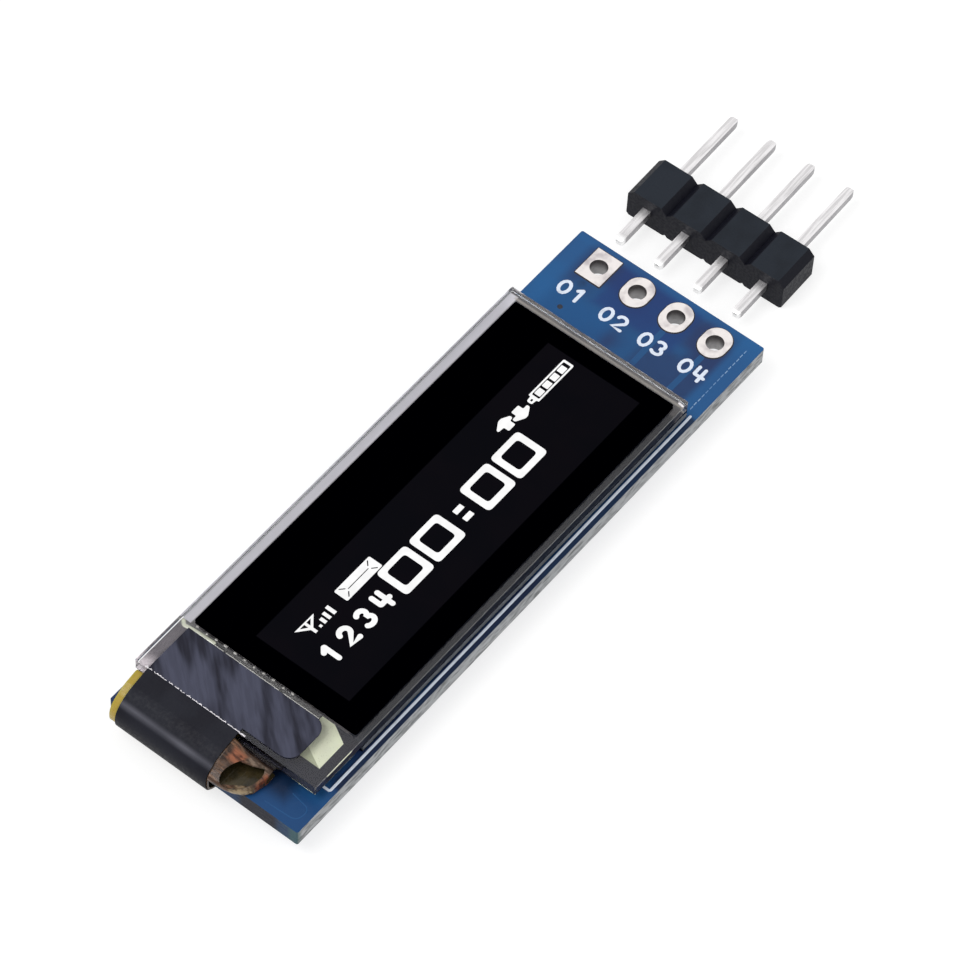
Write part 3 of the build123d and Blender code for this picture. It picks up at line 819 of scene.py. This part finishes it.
def pin_finish():
    """Tinned square pins with drawn marks, painted shade on their sides and a painted highlight at the short
    tips.
    """
    material, tree, shader = new_finish("pin_tin", Metallic=0.8)
    streaks = use(tree, "streaks", Turn=math.radians(-1.1), Pitch=7.0, Stretch=0.06)
    tone = tint(tree, streaks["Value"], screen(212, 210, 211), screen(240, 238, 239))
    side = use(tree, "facing", Level=0.5)["Side"]
    # Painted shade on the pins' sides.
    tone = partly(tree, side, 0.75, tone, screen(118, 116, 120))
    # Painted highlight at the short pins' tips.
    tone = paint(tree, tone, screen(250, 250, 250), (20.3, 0.9, 0.1), (0.5, 5.2, 0.6), 0.3)
    grain = grained(tree, 4.0, 4.0, 0.26, 0.42)
    height = weighed(tree, grain["Height"], 0.6, streaks["Height"], 1.0)
    dress(tree, shader, tone, grain["Roughness"], height, 0.012)
    return material


def housing_finish(colours):
    """Black moulded plastic: blue-grey on top, with painted shade on its sides and in its grooves."""
    material, tree, shader = new_finish("housing_black", Specular_IOR_Level=0.12)
    dark = tuple(c * 0.7 for c in colours.housing)
    top = drifting(tree, colours.housing, dark, 0.5, 0.4, 0.75)["Color"]
    # Painted shade on every face that does not lie level: the sides and the grooves.
    tone = tint(tree, use(tree, "facing", Level=0.8)["Side"], top, screen(15, 16, 25))
    grain_over(tree, shader, tone, (7.0, 4.0, 0.4, 0.6), 0.01)
    return material


# Operators


class StageOperator(bpy.types.Operator):
    """Make the pale floor, the soft light and the camera."""

    bl_idname = "display_module.stage"
    bl_label = "Stage"

    def execute(self, context):
        """Build the stage."""
        scene = context.scene
        scene.view_settings.view_transform = "Standard"
        self.floor(scene)
        self.world(scene)
        self.lamp(scene, "key_lamp", (-0.16, 0.10, 0.32), 0.20, 0.62)
        self.lamp(scene, "fill_lamp", (0.10, -0.26, 0.26), 0.24, 0.22)
        self.camera(scene)
        return {"FINISHED"}

    def floor(self, scene):
        """Pale sheet that the module and its pin strip lie on."""
        form = bmesh.new()
        bmesh.ops.create_grid(form, x_segments=8, y_segments=8, size=1.6)
        bmesh.ops.translate(form, verts=form.verts, vec=(0, 0, REST_LEVEL))
        mesh = finish_mesh("floor", form)
        material, tree, shader = new_finish("floor_pale", Specular_IOR_Level=0.0)
        grain = use(tree, "grain", Scale=0.02, Smooth=0.9, Coarse=1.0)
        dress(tree, shader, screen(243, 243, 244), grain["Roughness"])
        path = place(tree, "ShaderNodeLightPath").outputs
        seen = sums(tree, "MAXIMUM", path["Is Camera Ray"], path["Is Glossy Ray"])
        seen = sums(tree, "MAXIMUM", seen, path["Is Transmission Ray"])
        shade = place(tree, "ShaderNodeBsdfDiffuse", {"Color": (0.34, 0.34, 0.34)})
        white = place(tree, "ShaderNodeEmission", {"Strength": 0.72})
        both = place(tree, "ShaderNodeAddShader", {0: shade.outputs[0], 1: white.outputs[0]})
        mix = place(tree, "ShaderNodeMixShader", {0: seen, 1: shader.outputs[0], 2: both.outputs[0]})
        feed(tree, mix.outputs[0], tree.nodes["Material Output"].inputs["Surface"])
        mesh.materials.append(material)
        piece = bpy.data.objects.new("floor", mesh)
        scene.collection.objects.link(piece)

    def world(self, scene):
        """Plain pale surround, white where the camera or a gloss sees it."""
        world = bpy.data.worlds.new("surround")
        world.use_nodes = True
        scene.world = world
        tree = world.node_tree
        path = place(tree, "ShaderNodeLightPath").outputs
        seen = sums(tree, "MAXIMUM", path["Is Camera Ray"], path["Is Glossy Ray"])
        seen = sums(tree, "MAXIMUM", seen, path["Is Transmission Ray"])
        strength = spread(tree, seen, 0.0, 1.0, 0.62, 1.0)
        background = tree.nodes["Background"]
        background.inputs["Color"].default_value = (1.0, 1.0, 1.0, 1.0)
        feed(tree, strength, background.inputs["Strength"])

    def lamp(self, scene, name, spot, size, power):
        """One soft square lamp aimed at the board."""
        light = bpy.data.lights.new(name, "AREA")
        light.size = size
        light.energy = power
        holder = bpy.data.objects.new(name, light)
        holder.location = spot
        holder.rotation_mode = "QUATERNION"
        holder.rotation_quaternion = (-Vector(spot)).to_track_quat("-Z", "Y")
        scene.collection.objects.link(holder)

    def camera(self, scene):
        """Camera at the photograph's viewing angle."""
        azimuth, elevation, roll = (math.radians(a) for a in (-54.691, 55.172, 3.822))
        distance, shift_right, shift_up = 258.345 * MM, -1.726 * MM, -1.984 * MM
        back = Vector((
            math.sin(azimuth) * math.cos(elevation),
            -math.cos(azimuth) * math.cos(elevation),
            math.sin(elevation),
        ))
        level = Vector((math.cos(azimuth), math.sin(azimuth), 0.0))
        rise = back.cross(level)
        right = level * math.cos(roll) + rise * math.sin(roll)
        up = rise * math.cos(roll) - level * math.sin(roll)
        lens = bpy.data.cameras.new("camera")
        lens.sensor_width = 36.0
        lens.lens = 191.675
        lens.clip_start = 0.01
        lens.clip_end = 10.0
        holder = bpy.data.objects.new("camera", lens)
        holder.rotation_mode = "QUATERNION"
        holder.rotation_quaternion = Matrix((right, up, back)).transposed().to_quaternion()
        holder.location = (
            back * distance - right * shift_right - up * shift_up + Vector((0, 0, BOARD_HIGH.z))
        )
        scene.collection.objects.link(holder)
        scene.camera = holder


class BoardOperator(bpy.types.Operator):
    """Finish the circuit board, its eyelets and its masked tracks."""

    bl_idname = "display_module.board"
    bl_label = "Board"

    def execute(self, context):
        """Dress the board."""
        colours = context.scene.module_colours
        sizes = context.scene.module_sizes
        coat(["circuit_board"], mask_finish(colours))
        coat([f"pin_pad_{number}" for number in range(1, 5)], pad_finish(colours))
        copper = track_finish(colours)
        self.tracks(sizes, copper)
        self.back_tracks(sizes, copper)
        self.rims()
        self.pour_edge()
        return {"FINISHED"}

    def rims(self):
        """Narrow rings of painted shadow round the pads, and one small plated hole."""
        form = bmesh.new()
        gap, rim_width, rim_relief = 0.02 * MM, 0.09 * MM, 0.008 * MM
        via_spot, via_radius, via_width, via_relief = (14.29, 3.82), 0.08, 0.15 * MM, 0.006 * MM
        for number in range(1, 5):
            low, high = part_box(f"pin_pad_{number}")
            middle = (low + high) / 2
            half_x, half_y = (high.x - low.x) / 2 + gap, (high.y - low.y) / 2 + gap
            if number == 1:
                outline = rounded_box((low.x - gap, low.y - gap), (high.x + gap, high.y + gap), 0.06 * MM)
            else:
                shift = half_x - half_y
                outline = arc((middle.x + shift, middle.y), half_y, half_y, -90, 90)
                outline += arc((middle.x - shift, middle.y), half_y, half_y, 90, 270)
            ink_stroke(form, outline, rim_width, BOARD_HIGH.z, rim_relief, closed=True)
        via = metres(arc(via_spot, via_radius, via_radius, 0, 360, 12)[:-1])
        ink_stroke(form, via, via_width, BOARD_HIGH.z, via_relief, closed=True)
        # Dark ink for the painted shadow round the pads and for the via's ring.
        dark = matt_finish("pad_shadow_and_via_ring", screen(22, 26, 40), screen(34, 34, 44), depth=None)
        keep_form("pad_shadow_and_via_rings", form, dark)

    def pour_edge(self):
        """Fine broken glint along the rim of the wide copper at the pin holes' end."""
        form = bmesh.new()
        count, first_x, pitch, dash_length, rim_y = 15, 18.25, 0.33, 0.19, -5.36
        width, relief = 0.05 * MM, 0.008 * MM
        for index in range(count):
            x = first_x - index * pitch
            y = rim_y + 0.03 * noise.noise(Vector((index * 0.9, 0.0, 0.0)))
            ink_stroke(form, metres([(x, y), (x - dash_length, y)]), width, BOARD_HIGH.z, relief)
        pale = matt_finish("pour_glint", screen(138, 168, 200), screen(84, 124, 170), depth=None)
        keep_form("pour_glint", form, pale)

    def back_tracks(self, sizes, material):
        """Masked copper and plated holes on the back, from the tail's joints and the pins to the parts."""
        paths = [
            ([(16.5, 3.81), (15.2, 3.81), (14.6, 3.2), (14.6, -1.2), (13.6, -2.4)], 0.5),
            ([(16.5, 1.27), (15.4, 1.27), (12.7, 1.6)], 0.5),
            ([(16.5, -1.27), (15.8, -1.8), (15.8, -4.6), (13.6, -4.8)], 0.25),
            ([(16.5, -3.81), (16.0, -5.3), (9.6, -5.3), (8.6, -4.9), (-9.8, -4.9), (-10.8, -5.3),
              (-13.6, -5.3)], 0.25),
            ([(10.2, 2.55), (9.4, 2.55), (8.5, 3.5)], 0.5),
            ([(10.2, 0.65), (9.4, 0.65), (8.4, -0.5)], 0.5),
            ([(6.7, -0.6), (5.4, -0.6), (3.9, 0.9), (0.4, 0.9)], 0.35),
            ([(6.2, -3.6), (5.2, -3.6), (4.3, -2.9)], 0.4),
            ([(3.6, 2.7), (2.6, 1.8), (-1.0, 1.8), (-1.8, 2.8)], 0.3),
            ([(-0.3, -3.4), (0.8, -3.4), (3.0, -2.9)], 0.3),
        ]
        joint_count, first_joint_y, joint_pitch = 12, -0.35, 0.5
        first_end_x, end_step = -10.4, 1.1
        hole_radius, hole_width, corner_radius = 0.2, 0.18, 0.3
        ends = {7: (-13.2, 3.15), 8: (-13.2, 3.65), 9: (-13.2, 4.15), 10: (-4.9, 4.65), 11: (-1.6, 5.15)}
        holes = [(14.6, 0.6), (5.4, 2.2), (2.2, -0.6), (9.6, -2.0), (14.29, 3.82)]
        for index in range(joint_count):
            y = first_joint_y + joint_pitch * index
            end = ends.get(index, (first_end_x + end_step * index, y))
            paths.append(([(-14.6, y), end], 0.2))
            if index not in ends:
                holes.append(end)
        form = bmesh.new()
        for points, width in paths:
            path = metres(eased(points, corner_radius))
            ink_stroke(form, path, width * MM, 0.0, -sizes.track_height)
        for hole in holes:
            ring = metres(arc(hole, hole_radius, hole_radius, 0, 360, 16)[:-1])
            ink_stroke(form, ring, hole_width * MM, 0.0, -sizes.track_height * 1.2, closed=True)
        keep_form("back_tracks", form, material)

    def tracks(self, sizes, material):
        """Copper under the mask on the face."""
        top = [
            ([(16.4, -1.27), (13.0, -1.29)], 0.34),
            ([(16.4, -3.81), (13.0, -3.74)], 0.34),
            ([(-18.6, -3.6), (-18.5, -5.5), (-17.6, -5.62), (-17.4, -4.4)], 0.06),
        ]
        form = bmesh.new()
        corner_radius, lower = 0.4, 0.3
        for points, width in top:
            path = metres(eased(points, corner_radius))
            ink_stroke(form, path, width * MM, BOARD_HIGH.z, sizes.track_height * lower)
        keep_form("face_tracks", form, material)


class PrintOperator(bpy.types.Operator):
    """Print the outline and the pin numbers on the board."""

    bl_idname = "display_module.print"
    bl_label = "Print"

    def execute(self, context):
        """Add the printing."""
        sizes = context.scene.module_sizes
        ink = ink_finish(context.scene.module_colours)
        self.outline(sizes, ink)
        self.numbers(sizes, ink)
        self.back_outlines(sizes, ink)
        return {"FINISHED"}

    def back_outlines(self, sizes, ink):
        """White frames round the chips on the back."""
        form = bmesh.new()
        corner_radius, stroke = 0.1 * MM, 0.12 * MM
        for name in sorted(NODES):
            if not name.startswith(("capacitor_", "large_capacitor_", "resistor_", "regulator_leads")):
                continue
            low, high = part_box(name)
            along_x = high.x - low.x > high.y - low.y
            room = Vector((0.62, 0.3) if along_x else (0.3, 0.62)) * MM
            frame_box = rounded_box(low.xy - room, high.xy + room, corner_radius)
            ink_stroke(form, frame_box, stroke, 0.0, -sizes.ink_height * 2, closed=True)
        keep_form("back_outlines", form, ink)

    def outline(self, sizes, ink):
        """White line along the screen's long side, turned in at the tail."""
        form = bmesh.new()
        corner = [(-16.15, -5.05), (-16.15, -5.68), (13.05, -5.65)]
        path = metres(eased(corner, 0.12))
        ink_stroke(form, path, sizes.line_stroke, BOARD_HIGH.z, sizes.ink_height)
        keep_form("printed_outline", form, ink)

    def numbers(self, sizes, ink):
        """Plain numbers of the four pins, read from the screen's end."""
        form = bmesh.new()
        column_x = 15.05
        for number, start in {"01": 4.72, "02": 1.96, "03": -0.58, "04": -3.2}.items():
            write_number(
                form,
                number,
                Vector((column_x * MM, start * MM)),
                (0.0, -1.0),
                sizes.label_height,
                sizes.label_stroke,
                sizes.label_pitch,
                BOARD_HIGH.z,
                sizes.ink_height,
            )
        keep_form("printed_numbers", form, ink)


class PanelOperator(bpy.types.Operator):
    """Finish the glass panel with its polarizer, seal and tape."""

    bl_idname = "display_module.panel"
    bl_label = "Glass panel"

    def execute(self, context):
        """Dress the panel."""
        coat(["front_glass"], glass_finish("front_glass_clear", (0.97, 0.98, 0.98)))
        # The rear glass is tinted dark: painted shade on its side faces, which lie in the dark gap under the
        # front glass.
        coat(["rear_glass"], glass_finish("rear_glass_shade_tint", (0.25, 0.3, 0.36)))
        coat(["polarizer"], polarizer_finish())
        coat(["seal_frame"], matt_finish("seal_resin", screen(92, 86, 84), screen(64, 60, 66), depth=0.004))
        white, white_worn = screen(226, 226, 220), screen(206, 206, 200)
        coat(["drying_sheet"], matt_finish("drying_sheet_white", white, white_worn))
        coat(["light_layer"], matt_finish("light_layer_grey", screen(26, 26, 30), screen(36, 36, 42),
                                          smooth=0.2, coarse=0.3))
        coat(["panel_tape"], matt_finish("tape_dark", screen(40, 40, 44), screen(28, 28, 32)))
        self.inner_faces(context.scene.module_colours)
        return {"FINISHED"}

    def inner_faces(self, colours):
        """Thin layers that show through the front glass: conductors, foam, resin and seal."""
        level, thickness = GLASS_LOW.z + 0.003 * MM, 0.004 * MM
        foam = [(-13.52, -3.84), (-13.52, -3.05), (-15.95, -3.05), (-15.95, -4.85), (-14.1, -4.85)]
        ledge = [(-17.05, -5.48), (-13.5, -5.48), (-13.5, -3.0), (-13.9, -3.0), (-13.9, 5.92), (-17.05, 5.92)]
        resin = [(-13.9, -3.0), (-13.5, -3.0), (-13.5, 5.92), (-13.9, 5.92)]
        rim = [(-13.5, -5.48), (12.85, -5.48), (12.85, 5.92), (-13.5, 5.92)]
        middle = [(-12.6, -4.6), (11.9, -4.6), (11.9, 5.0), (-12.6, 5.0)]
        layers = (
            ("ledge_conductors", [ledge, foam], conductor_finish(), "light_layer"),
            ("foam_face", [foam], foam_finish("foam_pressed", colours), "foam"),
            ("resin_face", [resin], matt_finish("resin_behind_glass", screen(116, 114, 114),
                                                screen(92, 90, 92), depth=None), "resin"),
            ("seal_face", [rim, middle], seal_finish(), "seal"),
        )
        for name, loops, material, slot in layers:
            keep_piece(name, plate_mesh(name, loops, level, thickness), material)
        # Painted shade: the darker facet of the pressed foam at its end towards the tail.
        dent = [(-15.95, -3.4), (-15.95, -4.82), (-15.3, -3.6), (-15.3, -3.4)]
        dull = matt_finish("foam_dent_shade", screen(150, 154, 126), screen(164, 168, 140), depth=None)
        keep_piece("foam_dent_shade", plate_mesh("foam_dent_shade", [dent], level + thickness, thickness), dull)


class ReadoutOperator(bpy.types.Operator):
    """Draw the lit figures of the screen."""

    bl_idname = "display_module.readout"
    bl_label = "Readout"

    def execute(self, context):
        """Add the figures."""
        sizes = context.scene.module_sizes
        glow = glow_finish(context.scene.module_colours)
        self.level = POLARIZER_HIGH.z
        self.relief = sizes.glyph_height
        self.figures(glow)
        self.counter(glow)
        self.signs(glow)
        return {"FINISHED"}

    def plate(self, name, loops, glow):
        """One lit shape."""
        keep_piece(name, plate_mesh(name, loops, self.level, self.relief), glow)

    def figures(self, glow):
        """Four large figures and their colon."""
        zero = [
            rounded_box((-0.03, -1.92), (2.24, 0.08), 0.28),
            rounded_box((0.38, -1.54), (1.83, -0.26), 0.22),
        ]
        for number, left in enumerate((-5.67, -3.14, 0.92, 3.46)):
            moved = [[(p[0] + left, p[1] - 0.1) for p in loop] for loop in zero]
            self.plate(f"figure_{number + 1}", moved, glow)
        dots = [rounded_box((-0.31, y - 0.16), (0.31, y + 0.16), 0.05) for y in (-0.74, -1.38)]
        self.plate("figure_colon", dots, glow)

    def counter(self, glow):
        """A plain small number before the figures."""
        form = bmesh.new()
        start, along = Vector((-11.1, -1.76)) * MM, (1.0, 0.0)
        height, stroke, pitch = 0.98 * MM, 0.3 * MM, 1.36 * MM
        write_number(form, "1234", start, along, height, stroke, pitch, self.level, self.relief)
        keep_form("small_number", form, glow)

    def signs(self, glow):
        """Battery, arrows, envelope and aerial."""
        battery = [
            eased([(7.83, 0.26), (10.78, 0.26), (10.78, 0.93), (7.83, 0.93), (7.83, 0.8), (7.47, 0.76),
                   (7.47, 0.44), (7.83, 0.4)], 0.1, closed=True),
            rounded_box((7.98, 0.36), (10.64, 0.83), 0.06),
            rounded_box((7.6, 0.54), (7.76, 0.66), 0.04),
        ]
        battery += [rounded_box((x - 0.23, 0.41), (x + 0.23, 0.78), 0.05) for x in (8.34, 8.96, 9.58, 10.2)]
        self.plate("sign_battery", battery, glow)
        down = [(6.4, 0.93), (6.4, 0.6), (6.08, 0.6), (6.08, 0.42), (6.6, 0.14), (6.8, 0.14),
                (7.3, 0.42), (7.3, 0.6), (6.98, 0.6), (6.98, 0.93)]
        up = [(5.42, 0.3), (5.42, 0.62), (5.02, 0.66), (5.02, 0.78), (5.52, 1.08), (5.76, 1.08),
              (6.2, 0.84), (6.2, 0.68), (5.96, 0.64), (5.96, 0.3)]
        self.plate("sign_arrows", [eased(down, 0.08, closed=True), eased(up, 0.08, closed=True)], glow)
        envelope = [
            rounded_box((-7.85, 0.04), (-5.08, 0.91), 0.1),
            [(-7.26, 0.45), (-5.66, 0.45), (-5.66, 0.5), (-7.26, 0.5)],
            [(-7.62, 0.8), (-7.56, 0.83), (-7.32, 0.6), (-7.37, 0.56)],
            [(-7.62, 0.16), (-7.56, 0.13), (-7.32, 0.35), (-7.37, 0.39)],
            [(-5.3, 0.8), (-5.36, 0.83), (-5.6, 0.6), (-5.55, 0.56)],
            [(-5.3, 0.16), (-5.36, 0.13), (-5.6, 0.35), (-5.55, 0.39)],
        ]
        self.plate("sign_envelope", envelope, glow)
        aerial = [
            [(-10.96, 0.88), (-9.49, 0.86), (-10.14, 0.34), (-10.14, 0.04), (-10.32, 0.04), (-10.32, 0.34)],
            [(-10.66, 0.79), (-10.3, 0.79), (-10.3, 0.52)],
            [(-10.14, 0.79), (-9.8, 0.79), (-10.14, 0.52)],
        ]
        bars = ((-9.9, 0.2, 0.15), (-9.6, 0.42, 0.2), (-9.26, 0.53, 0.2), (-8.88, 0.64, 0.22))
        aerial += [[(x, 0.04), (x + w, 0.04), (x + w, top), (x, top)] for x, top, w in bars]
        self.plate("sign_aerial", aerial, glow)


class TailOperator(bpy.types.Operator):
    """Finish the folded tail, its cover film, the foam and the resin."""

    bl_idname = "display_module.tail"
    bl_label = "Folded tail"

    def execute(self, context):
        """Dress the tail's end."""
        colours = context.scene.module_colours
        coat(["flex_tail"], tail_finish(colours))
        coat(["cover_film"], film_finish(colours))
        coat(["foam_block"], foam_finish("foam_cream", colours))
        coat(["driver_chip"], matt_finish("silicon_grey", screen(74, 76, 84), screen(58, 60, 66),
                                          smooth=0.15, coarse=0.25))
        coat(["edge_resin"], resin_finish("resin_clear", screen(170, 168, 160)))
        coat(["tail_joints"], tin_finish(colours, "joint_solder"))
        self.drops(context.scene.module_sizes)
        self.glint()
        return {"FINISHED"}

    def drops(self, sizes):
        """Bright drops of resin along the polarizer's end."""
        form = bmesh.new()
        first_y, pitch, radius, glass_top = 4.84, 0.61, 0.07, 2.48 * MM
        line_width, line_relief = 0.06 * MM, 0.02 * MM
        for index in range(sizes.bead_count):
            y = first_y - index * pitch
            wobble = noise.noise(Vector((index * 1.7, 0.3, 0.1)))
            centre = Vector((-13.67 + wobble * 0.06, y + wobble * 0.1, 2.485)) * MM
            drop = bmesh.ops.create_icosphere(form, subdivisions=2, radius=radius * MM)["verts"]
            for vert in drop:
                ragged = 1.0 + 0.45 * noise.noise(vert.co / MM * 9.0 + Vector((index, 0.0, 0.0)))
                vert.co = Vector((
                    vert.co.x * ragged,
                    vert.co.y * (1.3 + wobble) * ragged,
                    vert.co.z * 0.3,
                )) + centre
        for start, end in ((5.0, 2.95), (2.75, -0.6), (-0.95, -3.15)):
            line = []
            for step in range(25):
                waver = 0.02 * noise.noise(Vector((step, start, 0.0)))
                line.append((-13.95 + waver, start + (end - start) * step / 24))
            ink_stroke(form, metres(line), line_width, glass_top, line_relief)
        material = resin_finish("resin_drops", screen(172, 170, 166))
        keep_form("resin_drops", form, material, smooth=True)
        start = bmesh.new()
        line = metres([(-13.82, 5.62), (-14.02, 5.42), (-13.94, 5.05), (-13.9, 4.4), (-13.88, 3.6)])
        ink_stroke(start, eased(line, 0.2 * MM), 0.22 * MM, glass_top, 0.03 * MM)
        cream = resin_finish("resin_cream", screen(186, 188, 170))
        keep_form("resin_start", start, cream, smooth=True)

    def close_fragment(self, form, rings):
        """Skin one fragment of the glinting adhesive from its rings."""
        if len(rings) < 2:
            bmesh.ops.delete(form, geom=[vert for ring in rings for vert in ring], context="VERTS")
            return
        for first, second in zip(rings, rings[1:]):
            for index in range(4):
                after = (index + 1) % 4
                form.faces.new((first[index], first[after], second[after], second[index]))
        form.faces.new(rings[0])
        form.faces.new(rings[-1])

    def glint(self):
        """Broken bright line where the film turns over the glass's end: clear adhesive painted white as the
        chipped edge's glint.
        """
        form = bmesh.new()
        steps, first_y, run, film_edge = 320, 5.3, 6.4, -17.06
        crest, shoulder, foot = 2.56, 2.53, 2.47
        thinnest = 0.012
        rings = []
        for index in range(steps + 1):
            y = first_y - run * index / steps
            breaks = noise.noise(Vector((y * 5.3, 9.0, 4.0)))
            if breaks < -0.28 or index == steps:
                self.close_fragment(form, rings)
                rings = []
                continue
            rag = noise.noise(Vector((y * 7.0, 2.0, 0.0)))
            fray = noise.noise(Vector((y * 21.0, 5.0, 1.0)))
            half = max(thinnest, 0.035 + 0.03 * rag + 0.035 * fray)
            middle = film_edge + 0.05 * rag + 0.03 * fray
            rings.append([
                form.verts.new(Vector((middle + half, y, shoulder)) * MM),
                form.verts.new(Vector((middle, y, crest + 0.01 * rag)) * MM),
                form.verts.new(Vector((middle - half, y, shoulder)) * MM),
                form.verts.new(Vector((middle - half, y, foot)) * MM),
            ])
        # A painted reflection at the glass's corner by the pins.
        corner = metres([(12.5, -5.24), (12.47, -5.48)])
        ink_stroke(form, corner, 0.13 * MM, GLASS_HIGH.z, 0.012 * MM)
        # Painted glint: the strip and the corner piece are white.
        material = resin_finish("adhesive_glint_white", screen(240, 236, 240))
        keep_form("adhesive_glint_edge", form, material)


class BackPartsOperator(bpy.types.Operator):
    """Finish the chips, the regulator and the diode on the back."""

    bl_idname = "display_module.back_parts"
    bl_label = "Back parts"

    def execute(self, context):
        """Dress the parts on the back."""
        colours = context.scene.module_colours
        tan, tan_dark = screen(150, 116, 84), screen(126, 96, 70)
        black, black_dark = screen(30, 31, 34), screen(20, 21, 24)
        for name in sorted(NODES):
            low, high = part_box(name)
            if name.startswith(("capacitor_", "large_capacitor_")):
                coat([name], chip_finish(name + "_ends", low, high, tan, tan_dark, 0.2))
            elif name.startswith("resistor_"):
                coat([name], chip_finish(name + "_ends", low, high, black, black_dark, 0.16))
        moulding = matt_finish("moulding_black", screen(38, 38, 41), screen(28, 28, 31), depth=0.015)
        coat(["regulator_body", "diode_body"], moulding)
        coat(["regulator_leads", "diode_leads"], tin_finish(colours, "lead_tin"))
        self.solder(tin_finish(colours, "back_solder"))
        return {"FINISHED"}

    def solder(self, material):
        """Solder pads and fillets at the ends of the chips and the leads."""
        ends = [
            ((10.2, 0.65), (-1, 0), 0.24, 0.3, 0.14),
            ((10.2, 2.55), (-1, 0), 0.24, 0.3, 0.14),
            ((12.6, 1.6), (1, 0), 0.24, 0.3, 0.14),
            ((6.35, -3.6), (-1, 0), 0.2, 0.3, 0.12),
            ((8.85, -3.6), (1, 0), 0.2, 0.3, 0.12),
        ]
        for name in sorted(NODES):
            if not name.startswith(("capacitor_", "large_capacitor_", "resistor_")):
                continue
            low, high = (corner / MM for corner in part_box(name))
            middle, size = (low + high) / 2, high - low
            axis = Vector((1, 0)) if size.x > size.y else Vector((0, 1))
            half_length = max(size.x, size.y) / 2
            for way in (-1, 1):
                foot = Vector((middle.x, middle.y)) + axis * half_length * way
                ends.append((foot, axis * way, min(size.x, size.y) / 2 * 0.94, 0.32, size.z * 0.7))
        form = bmesh.new()
        margin, inset, overrun, corner_radius = 0.06, 0.3, 0.08, 0.1
        pads = []
        for foot, outward, half_width, reach, rise in ends:
            foot, outward = Vector(foot), Vector(outward)
            self.fillet(form, foot, outward, half_width, reach, rise)
            side = Vector((-outward.y, outward.x)) * (half_width + margin)
            near, far = foot - outward * inset, foot + outward * (reach + overrun)
            corners = [near - side, far - side, far + side, near + side]
            pads.append(eased(corners, corner_radius, closed=True))
        keep_form("solder_fillets", form, material, smooth=True)
        keep_piece("solder_pads", plate_mesh("solder_pads", pads, -0.02 * MM, 0.02 * MM), material)

    def fillet(self, form, foot, outward, half_width, reach, rise):
        """Add one concave fillet, from a part's end down to its pad. Lengths are in millimetres."""
        side = Vector((-outward.y, outward.x))
        steps = 6
        rows = []
        for across, share_up in ((-1.0, 0.82), (-0.5, 0.97), (0.0, 1.0), (0.5, 0.97), (1.0, 0.82)):
            row = []
            for step in range(steps + 1):
                share = step / steps
                narrow = 1.0 - 0.15 * share * share
                spot = (foot + outward * (reach * share) + side * (half_width * across * narrow)) * MM
                row.append(form.verts.new((spot.x, spot.y, -rise * share_up * (1.0 - share) ** 2 * MM)))
            heel = (foot + side * (half_width * across)) * MM
            row.append(form.verts.new((heel.x, heel.y, 0.0)))
            rows.append(row)
        around = steps + 2
        for first, second in zip(rows, rows[1:]):
            for index in range(around):
                after = (index + 1) % around
                form.faces.new((first[index], first[after], second[after], second[index]))
        form.faces.new(rows[0])
        form.faces.new(rows[-1])


class HeaderOperator(bpy.types.Operator):
    """Finish the loose pin strip."""

    bl_idname = "display_module.header"
    bl_label = "Pin strip"

    def execute(self, context):
        """Dress the pin strip."""
        coat(["header_housing"], housing_finish(context.scene.module_colours))
        coat([f"header_pin_{number}" for number in range(1, 5)], pin_finish())
        return {"FINISHED"}


OPERATORS = (
    StageOperator,
    BoardOperator,
    PrintOperator,
    PanelOperator,
    ReadoutOperator,
    TailOperator,
    BackPartsOperator,
    HeaderOperator,
)


class ModulePanel(bpy.types.Panel):
    """Lists the steps that dress the display module."""

    bl_idname = "VIEW3D_PT_display_module"
    bl_label = "Display module"
    bl_space_type = "VIEW_3D"
    bl_region_type = "UI"
    bl_category = "Display module"

    def draw(self, context):
        """Draw the panel."""
        for operator in OPERATORS:
            self.layout.operator(operator.bl_idname)
        for group in (context.scene.module_colours, context.scene.module_sizes):
            for name in group.__annotations__:
                self.layout.prop(group, name)


CLASSES = (ModuleColours, ModuleSizes, *OPERATORS, ModulePanel)


def register():
    """Register the classes and their settings."""
    for entry in CLASSES:
        bpy.utils.register_class(entry)
    bpy.types.Scene.module_colours = PointerProperty(type=ModuleColours)
    bpy.types.Scene.module_sizes = PointerProperty(type=ModuleSizes)


def unregister():
    """Remove the classes and their settings."""
    del bpy.types.Scene.module_sizes
    del bpy.types.Scene.module_colours
    for entry in reversed(CLASSES):
        bpy.utils.unregister_class(entry)


def main():
    """Dress the part."""
    register()
    build_groups()
    bpy.ops.display_module.stage()
    bpy.ops.display_module.board()
    bpy.ops.display_module.print()
    bpy.ops.display_module.panel()
    bpy.ops.display_module.readout()
    bpy.ops.display_module.tail()
    bpy.ops.display_module.back_parts()
    bpy.ops.display_module.header()


if __name__ == "__main__":
    main()
